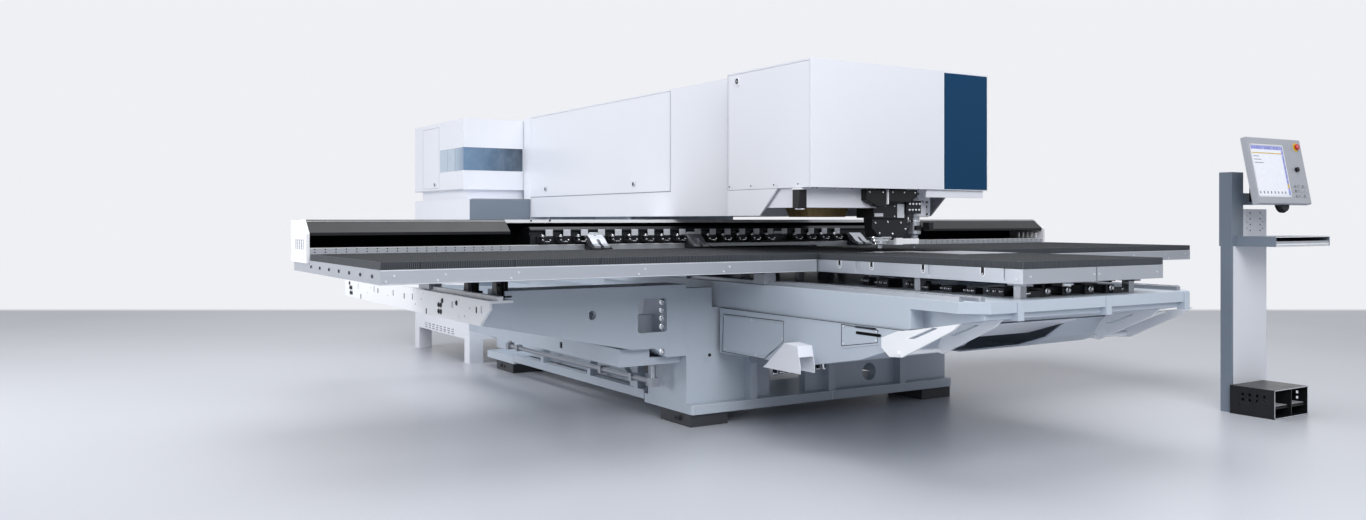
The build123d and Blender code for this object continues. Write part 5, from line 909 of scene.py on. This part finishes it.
def punch_head_details():
    """Plates, connectors, screws and fittings on the punching head."""
    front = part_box("punch_head")[0].y
    black = Form("head_plates", "dark_steel", bevel=0.002)
    pale = Form("head_pale_plates", "pale_metal", bevel=0.001)
    chrome = Form("head_fittings", "chrome")
    white = Form("head_white_plates", "white_trim", bevel=0.001)
    for form, plates in ((black, HEAD_BLACK), (white, HEAD_WHITE), (pale, HEAD_PALE)):
        for plate in plates:
            form.box(*[(x, front + y, z) for x, y, z in plate])
    black.plate("y", front - 0.010, HEAD_SHIELD, 0.012)
    black.box(*SIDE_BLOCK)
    for x, z in UPPER_SCREWS:
        chrome.screw((x, front - 0.006, z), FRONT, MEDIUM_HEAD)
    for x, z in SHIELD_SCREWS:
        chrome.screw((x, front - 0.010, z), FRONT, LARGE_HEAD)
    for x in PLUG_XS:
        for z, reach in PLUG_ROWS:
            chrome.rod((x, front - 0.016, z), (x, front - reach, z), 0.0085, 16)
    chrome.turn(RAM_PLACE, (0, 0, -1), RAM_STEPS, 40)


LASER_COLLARS = ((1.402, 0.046), (1.372, 0.043), (1.330, 0.044), (1.285, 0.038))
LASER_BLOCK = ((-0.024, -0.044, 1.232), (0.024, -0.018, 1.260))
BRACKET_FRONT = -1.9385


def laser_details():
    """Collar rings and a cooling block on the laser head, with screws in its bracket."""
    low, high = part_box("laser_head")
    middle = (low + high) / 2
    rings = Form("laser_rings", "chrome", "laser")
    black = Form("laser_block", "black_plastic", "laser", 0.002)
    screws = Form("bracket_screws", "dark_steel")
    for z, radius in LASER_COLLARS:
        rings.turn((middle.x, middle.y, z), UP, [(0, 0), (radius, 0), (radius, 0.010), (0, 0.010)], 28)
    black.box(*[(middle.x + x, middle.y + y, z) for x, y, z in LASER_BLOCK])
    for x in (0.225, 0.375, 0.455):
        for z in (1.335, 1.415, 1.470):
            screws.screw((x, BRACKET_FRONT, z), FRONT, LARGE_HEAD)


# Laser cabinet
BAND_Z = 1.489
SHADE_PANEL_FOOT = 0.62
DOOR_LOCK = (3.009, 1.639)
WINDOW_BARS_X = (0.194, 0.388)
WINDOW_BARS_Y = (0.21, 0.42)
THIN = 0.0008


def cabinet_details():
    """Door seam and lock, a slate sheet on the front that is painted shade, and the dark joint band of the
    laser cabinet.
    """
    low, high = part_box("cabinet_upper")
    front_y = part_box("cabinet_lower")[0].y
    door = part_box("cabinet_door")
    seams = Form("cabinet_seams", "slate")
    band = Form("cabinet_band", "shade_and_joints")
    painted_shade_panel = Form("cabinet_front_painted_shade", "slate")
    rings = Form("cabinet_lock_ring", "pale_metal", "door_cabinet")
    hearts = Form("cabinet_lock_heart", "black_plastic", "door_cabinet")
    lock(rings, hearts, (door[0].x, *DOOR_LOCK), (-1, 0, 0), 0.020)
    for y in (door[0].y - 0.002, door[1].y):
        seams.box((low.x - 0.0006, y, door[0].z), (low.x, y + 0.002, door[1].z))
    seams.box((low.x - 0.0006, low.y + 0.01, low.z + 0.004), (low.x, high.y - 0.01, low.z + 0.0065))
    band.box((low.x + 0.02, front_y - THIN, BAND_Z - 0.004), (-0.64, front_y, BAND_Z))
    # A slate sheet over the pale lower front: painted shade where the front lies in shade
    painted_shade_panel.box((low.x + 0.001, front_y - 0.0015, SHADE_PANEL_FOOT), (-0.632, front_y, BAND_Z - 0.006))
    window_details(low, seams)


def window_details(corner, bars):
    """Pale frame lines of the window band, and its upright bars, which join the seams."""
    trims = Form("window_trims", "white_trim")
    low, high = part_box("cabinet_window")
    for z in (low.z - 0.004, high.z):
        trims.box((corner.x - THIN, low.y, z), (corner.x, high.y, z + 0.004))
        trims.box((low.x, corner.y - THIN, z), (high.x, corner.y, z + 0.004))
    for x in [low.x + step for step in WINDOW_BARS_X]:
        bars.box((x - 0.001, low.y - THIN, low.z), (x + 0.001, low.y, high.z))
    for y in [low.y + step for step in WINDOW_BARS_Y]:
        bars.box((corner.x - THIN, y - 0.001, low.z), (corner.x, y + 0.001, high.z))


# Base, portal and floor frames
PAD_BOLT_INSET = 0.12
PAD_BOLT = [(0.020, -0.002), (0.020, 0.001), (0.012, 0.002), (0.012, 0.006), (0, 0.006)]
CHUTE_PIPE = (-0.155, -1.60)
LINK_START = -0.572
LINK_PITCH = 0.050
VALVE_STEPS = (0.05, 0.13)


def base_details():
    """Bolts of the foot pads and the portal, joint lines, pipe valves and the pipe under the chute."""
    low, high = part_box("base_plates")
    bolts = Form("pad_bolts", "dark_steel")
    lines = Form("base_lines", "white_trim")
    chrome = Form("chute_pipe", "chrome")
    dark = Form("portal_screws", "dark_steel")
    pad_low, pad_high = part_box("levelling_feet")
    for side in (-1, 1):
        for y in (pad_low.y + PAD_BOLT_INSET, pad_high.y - PAD_BOLT_INSET):
            bolts.turn((side * pad_high.x, y, 0.045), (side, 0, 0), PAD_BOLT, 6)
        lines.box((side * low.x, low.y - 0.0007, high.z - 0.004), (side * 0.001, low.y, high.z - 0.0015))
    lines.box((-0.002, low.y - 0.0009, low.z), (0.002, low.y, high.z))
    dark.screw((-0.995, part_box("base_portal")[0].y, 0.447), FRONT, 0.011)
    pipe_low, pipe_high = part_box("water_pipe")
    x, top = (pipe_low.x + pipe_high.x) / 2, pipe_high.z
    for y in [pipe_low.y + step for step in VALVE_STEPS]:
        dark.rod((x, y, top - 0.012), (x, y, top + 0.040), 0.020, 16)
        dark.rod((x - 0.040, y, top + 0.030), (x + 0.040, y, top + 0.030), 0.009, 12)
    chrome.rod((*CHUTE_PIPE, 0.305), (*CHUTE_PIPE, 0.452), 0.016, 20)
    chrome.disc((*CHUTE_PIPE, 0.380), UP, 0.020, 0.018, 20)
    y = CHUTE_PIPE[1]
    for i in range(9):
        x, z = LINK_START + i * LINK_PITCH, 0.308 + 0.005 * (i % 3)
        chrome.rod((x, y, z), (x + 0.030, y, z), 0.013, 16)
        dark.box((x + 0.012, y - 0.016, 0.318), (x + 0.026, y + 0.016, 0.345))


# Operator console: the monitor's middle and lean, and plain fields on its face in millimetres
MONITOR_PLACE = Vector((2.458, -3.100, 1.560))
MONITOR_LEAN = math.radians(11)
FACE = 90.0
SCREEN_BARS = (((-290, 192), (82, 216)), ((62, -118), (82, 190)))
SCREEN_MARKS = (((-288, 164), (60, 170), FACE - 1.2), ((63, -70), (81, -42), FACE - 0.9))
SCREEN_FRAME = (((-300, -130), (92, -123)), ((-300, 219), (92, 226)),
                ((-300, -130), (-293, 226)), ((85, -130), (92, 226)))
CORNER_SCREWS = ((-306, -168), (306, -168), (-306, 264), (306, 264))
BOSS = [(0, -0.02), (0.055, -0.02), (0.060, 0.0), (0.052, 0.02), (0, 0.022)]


def on_monitor(across, up, out):
    """A point of the monitor's own plane, in millimetres, as a point in space."""
    rise = Vector((0, math.sin(MONITOR_LEAN), math.cos(MONITOR_LEAN)))
    face = Vector((0, -math.cos(MONITOR_LEAN), math.sin(MONITOR_LEAN)))
    return MONITOR_PLACE + Vector((across, 0, 0)) / 1000 + rise * up / 1000 + face * out / 1000


def monitor_patch(form, low, high, level=FACE - 1.2, depth=1.0):
    """A thin plate on the monitor's face between two corners, in millimetres."""
    spots = (low, (high[0], low[1]), high, (low[0], high[1]))
    form.prism([on_monitor(*spot, level) for spot in spots], on_monitor(0, 0, depth) - on_monitor(0, 0, 0))


def monitor_details():
    """Plain fields of the screen, its frame, soft keys and the collars of the stop and the knob."""
    bars = Form("screen_bars", "violet", "display")
    fields = Form("screen_fields", "slate", "display")
    lines = Form("screen_frame", "white_trim", "display")
    keys = Form("soft_keys", "grey_plastic", "display", 0.0006)
    collars = Form("stop_collar", "yellow", "display")
    marks = Form("screen_buttons", "yellow", "display")
    boss = Form("monitor_boss", "black_plastic", "display")
    for low, high in SCREEN_BARS:
        monitor_patch(bars, low, high)
    for low, high, level in SCREEN_MARKS:
        monitor_patch(marks, low, high, level)
    for row in range(3):
        monitor_patch(fields, (-276, 142 - row * 22), (-212 + 20 * row, 146 - row * 22))
    for column in range(8):
        monitor_patch(fields, (-278 + column * 42, -108), (-266 + column * 42, -92))
    for low, high in SCREEN_FRAME:
        monitor_patch(lines, low, high, FACE - 0.8)
    for x in (150, 195, 240):
        for y in (-120, -88, -56):
            monitor_patch(keys, (x - 17, y - 11), (x + 17, y + 11), FACE - 0.5, 2.0)
    axis = on_monitor(0, 0, 1) - on_monitor(0, 0, 0)
    collars.disc(on_monitor(250, 218, FACE - 0.5), axis, 0.031, 0.002, 28)
    boss.turn(on_monitor(40, -168, 40), axis, BOSS, 32)
    for x, y in CORNER_SCREWS:
        keys.disc(on_monitor(x, y, FACE - 0.5), axis, SMALL_HEAD, 0.0015)


KEY_PITCH = (0.038, 0.034)
KEY_HALF = (0.015, 0.013)
KEY_START = (0.045, 0.035)


def console_details():
    """Screws of the column, edges of the tray and the drawer, and edges of the pedal box."""
    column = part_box("console_column")[0]
    screws = Form("column_screws", "dark_steel")
    rims = Form("tray_rims", "white_trim")
    lip = Form("drawer_lip", "white_trim", "drawer")
    edges = Form("pedal_box_edges", "pale_metal")
    for x in (column.x + 0.20, column.x + 0.32):
        for z in (1.225, 1.265, 1.305, 1.345):
            screws.screw((x, column.y, z), FRONT, SMALL_HEAD)
    low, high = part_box("console_tray")
    for z in (low.z + 0.001, high.z - 0.006):
        rims.box((low.x, low.y - 0.0012, z), (high.x, low.y, z + 0.005))
    low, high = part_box("keyboard_drawer")
    lip.box((low.x + 0.002, low.y - 0.0012, low.z + 0.002), (high.x - 0.002, low.y, low.z + 0.014))
    low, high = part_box("pedal_box")
    foot = low.z + 0.002
    for a, b in (((low.x, foot), (low.x + 0.006, high.z)), ((high.x - 0.006, foot), (high.x, high.z)),
                 ((low.x, high.z - 0.005), (high.x, high.z)), ((low.x, foot), (high.x, low.z + 0.007))):
        edges.box((a[0], low.y - THIN, a[1]), (b[0], low.y + 0.002, b[1]))


def keyboard():
    """The rows of keys in the drawer."""
    low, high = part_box("keyboard_drawer")
    keys = Form("keyboard_keys", "black_plastic", "drawer", 0.001)
    for row in range(5):
        for i in range(15):
            x, y = low.x + KEY_START[0] + i * KEY_PITCH[0], low.y + KEY_START[1] + row * KEY_PITCH[1]
            keys.box((x - KEY_HALF[0], y - KEY_HALF[1], high.z - 0.0045),
                     (x + KEY_HALF[0], y + KEY_HALF[1], high.z - 0.001))


def tread_ribs():
    """Raised ribs on the two foot treads."""
    for name in ("left", "right"):
        low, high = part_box(f"pedal_{name}")
        ribs = Form(f"tread_ribs_{name}", "pale_metal", f"tread_{name}")
        for i in range(7):
            x = low.x + 0.024 + i * (high.x - low.x - 0.048) / 6
            ribs.box((x - 0.003, low.y + 0.004, high.z - 0.003), (x + 0.003, high.y - 0.06, high.z + 0.0012))


def mix_shaders(tree, factor, first, second, target):
    """Shows the first shader where the factor is 0 and the second where it is 1."""
    mix = add_node(tree, "ShaderNodeMixShader")
    for socket, source in zip(mix.inputs, (factor, first, second)):
        tree.links.new(source, socket)
    tree.links.new(mix.outputs[0], target)


def stage():
    """The floor, which fades into the pale wall."""
    mesh = bpy.data.meshes.new("floor")
    corners = [(u * FLOOR_HALF, v * FLOOR_HALF, 0) for u, v in ((-1, -1), (1, -1), (1, 1), (-1, 1))]
    mesh.from_pydata(corners, [], [(0, 1, 2, 3)])
    floor = bpy.data.objects.new("floor", mesh)
    bpy.context.scene.collection.objects.link(floor)
    material, tree, shader = new_material("floor")
    place = object_place(tree)
    ground = blend(tree, noise(tree, place, 0.12, 1.0), tint(FLOOR_COLOURS[0]), tint(FLOOR_COLOURS[1]))
    tree.links.new(ground, shader.inputs["Base Color"])
    tree.links.new(between(tree, noise(tree, place, 0.4, 1.0), 0.32, 0.38), shader.inputs["Roughness"])
    ahead = add_node(tree, "ShaderNodeVectorMath", operation="DOT_PRODUCT")
    turn = math.radians(-CAMERA_TURN)
    ahead.inputs[1].default_value = (math.sin(turn), math.cos(turn), 0)
    tree.links.new(place, ahead.inputs[0])
    reach = CAMERA_PLACE[0] * math.sin(turn) + CAMERA_PLACE[1] * math.cos(turn) + WALL_DEPTH
    far = between(tree, ahead.outputs["Value"], 0.0, 1.0, (reach, reach + WALL_BLEND))
    both = add_node(tree, "ShaderNodeMath", operation="MULTIPLY")
    tree.links.new(far, both.inputs[0])
    tree.links.new(seen_rays(tree), both.inputs[1])
    glow = add_node(tree, "ShaderNodeEmission")
    glow.inputs["Color"].default_value = tint(WALL)
    target = tree.nodes["Material Output"].inputs["Surface"]
    mix_shaders(tree, both.outputs[0], shader.outputs[0], glow.outputs[0], target)
    mesh.materials.append(material)


def seen_rays(tree):
    """One for rays that show the background, straight or in metal and glass."""
    path = add_node(tree, "ShaderNodeLightPath")
    result = path.outputs["Is Camera Ray"]
    for kind in ("Is Glossy Ray", "Is Transmission Ray"):
        either = add_node(tree, "ShaderNodeMath", operation="MAXIMUM")
        tree.links.new(result, either.inputs[0])
        tree.links.new(path.outputs[kind], either.inputs[1])
        result = either.outputs[0]
    return result


def room_light(strength):
    """A pale room: it shows as the wall and lights the object evenly."""
    world = bpy.data.worlds.new("room")
    world.use_nodes = True
    bpy.context.scene.world = world
    tree = world.node_tree
    lit = tree.nodes["Background"]
    lit.inputs["Color"].default_value = tint(ROOM)
    lit.inputs["Strength"].default_value = strength
    shown = add_node(tree, "ShaderNodeBackground")
    shown.inputs["Color"].default_value = tint(WALL)
    target = tree.nodes["World Output"].inputs["Surface"]
    mix_shaders(tree, seen_rays(tree), lit.outputs[0], shown.outputs[0], target)


def lamp(name, place, target, size, power):
    """A soft square lamp that looks at a point."""
    data = bpy.data.lights.new(name, "AREA")
    data.size = size
    data.energy = power
    item = bpy.data.objects.new(name, data)
    item.location = place
    item.rotation_euler = (Vector(target) - Vector(place)).to_track_quat("-Z", "Y").to_euler()
    bpy.context.scene.collection.objects.link(item)


def camera():
    """The camera of the photograph."""
    data = bpy.data.cameras.new("camera")
    data.sensor_width = SENSOR
    data.lens = LENS
    data.shift_y = SHIFT_DOWN
    item = bpy.data.objects.new("camera", data)
    item.location = CAMERA_PLACE
    item.rotation_euler = (math.radians(90), 0, math.radians(CAMERA_TURN))
    bpy.context.scene.collection.objects.link(item)
    bpy.context.scene.camera = item


dress_nodes()
brush_tables()
side_table_details()
guide_details()
end_plate_details()
tool_stations()
clamp_details()
outrigger_details()
roller_guards()
bed_cover_details()
bed_details()
under_table_units()
centre_table_details()
hood_details()
flap_details()
under_hood_units()
punch_head_details()
laser_details()
cabinet_details()
base_details()
monitor_details()
console_details()
keyboard()
tread_ribs()
for piece in pieces:
    make(*piece)
stage()
room_light(ROOM_STRENGTH)
for name, settings in LAMPS.items():
    lamp(name, *settings)
camera()
bpy.context.scene.view_settings.view_transform = "Standard"
bpy.context.view_layer.update()
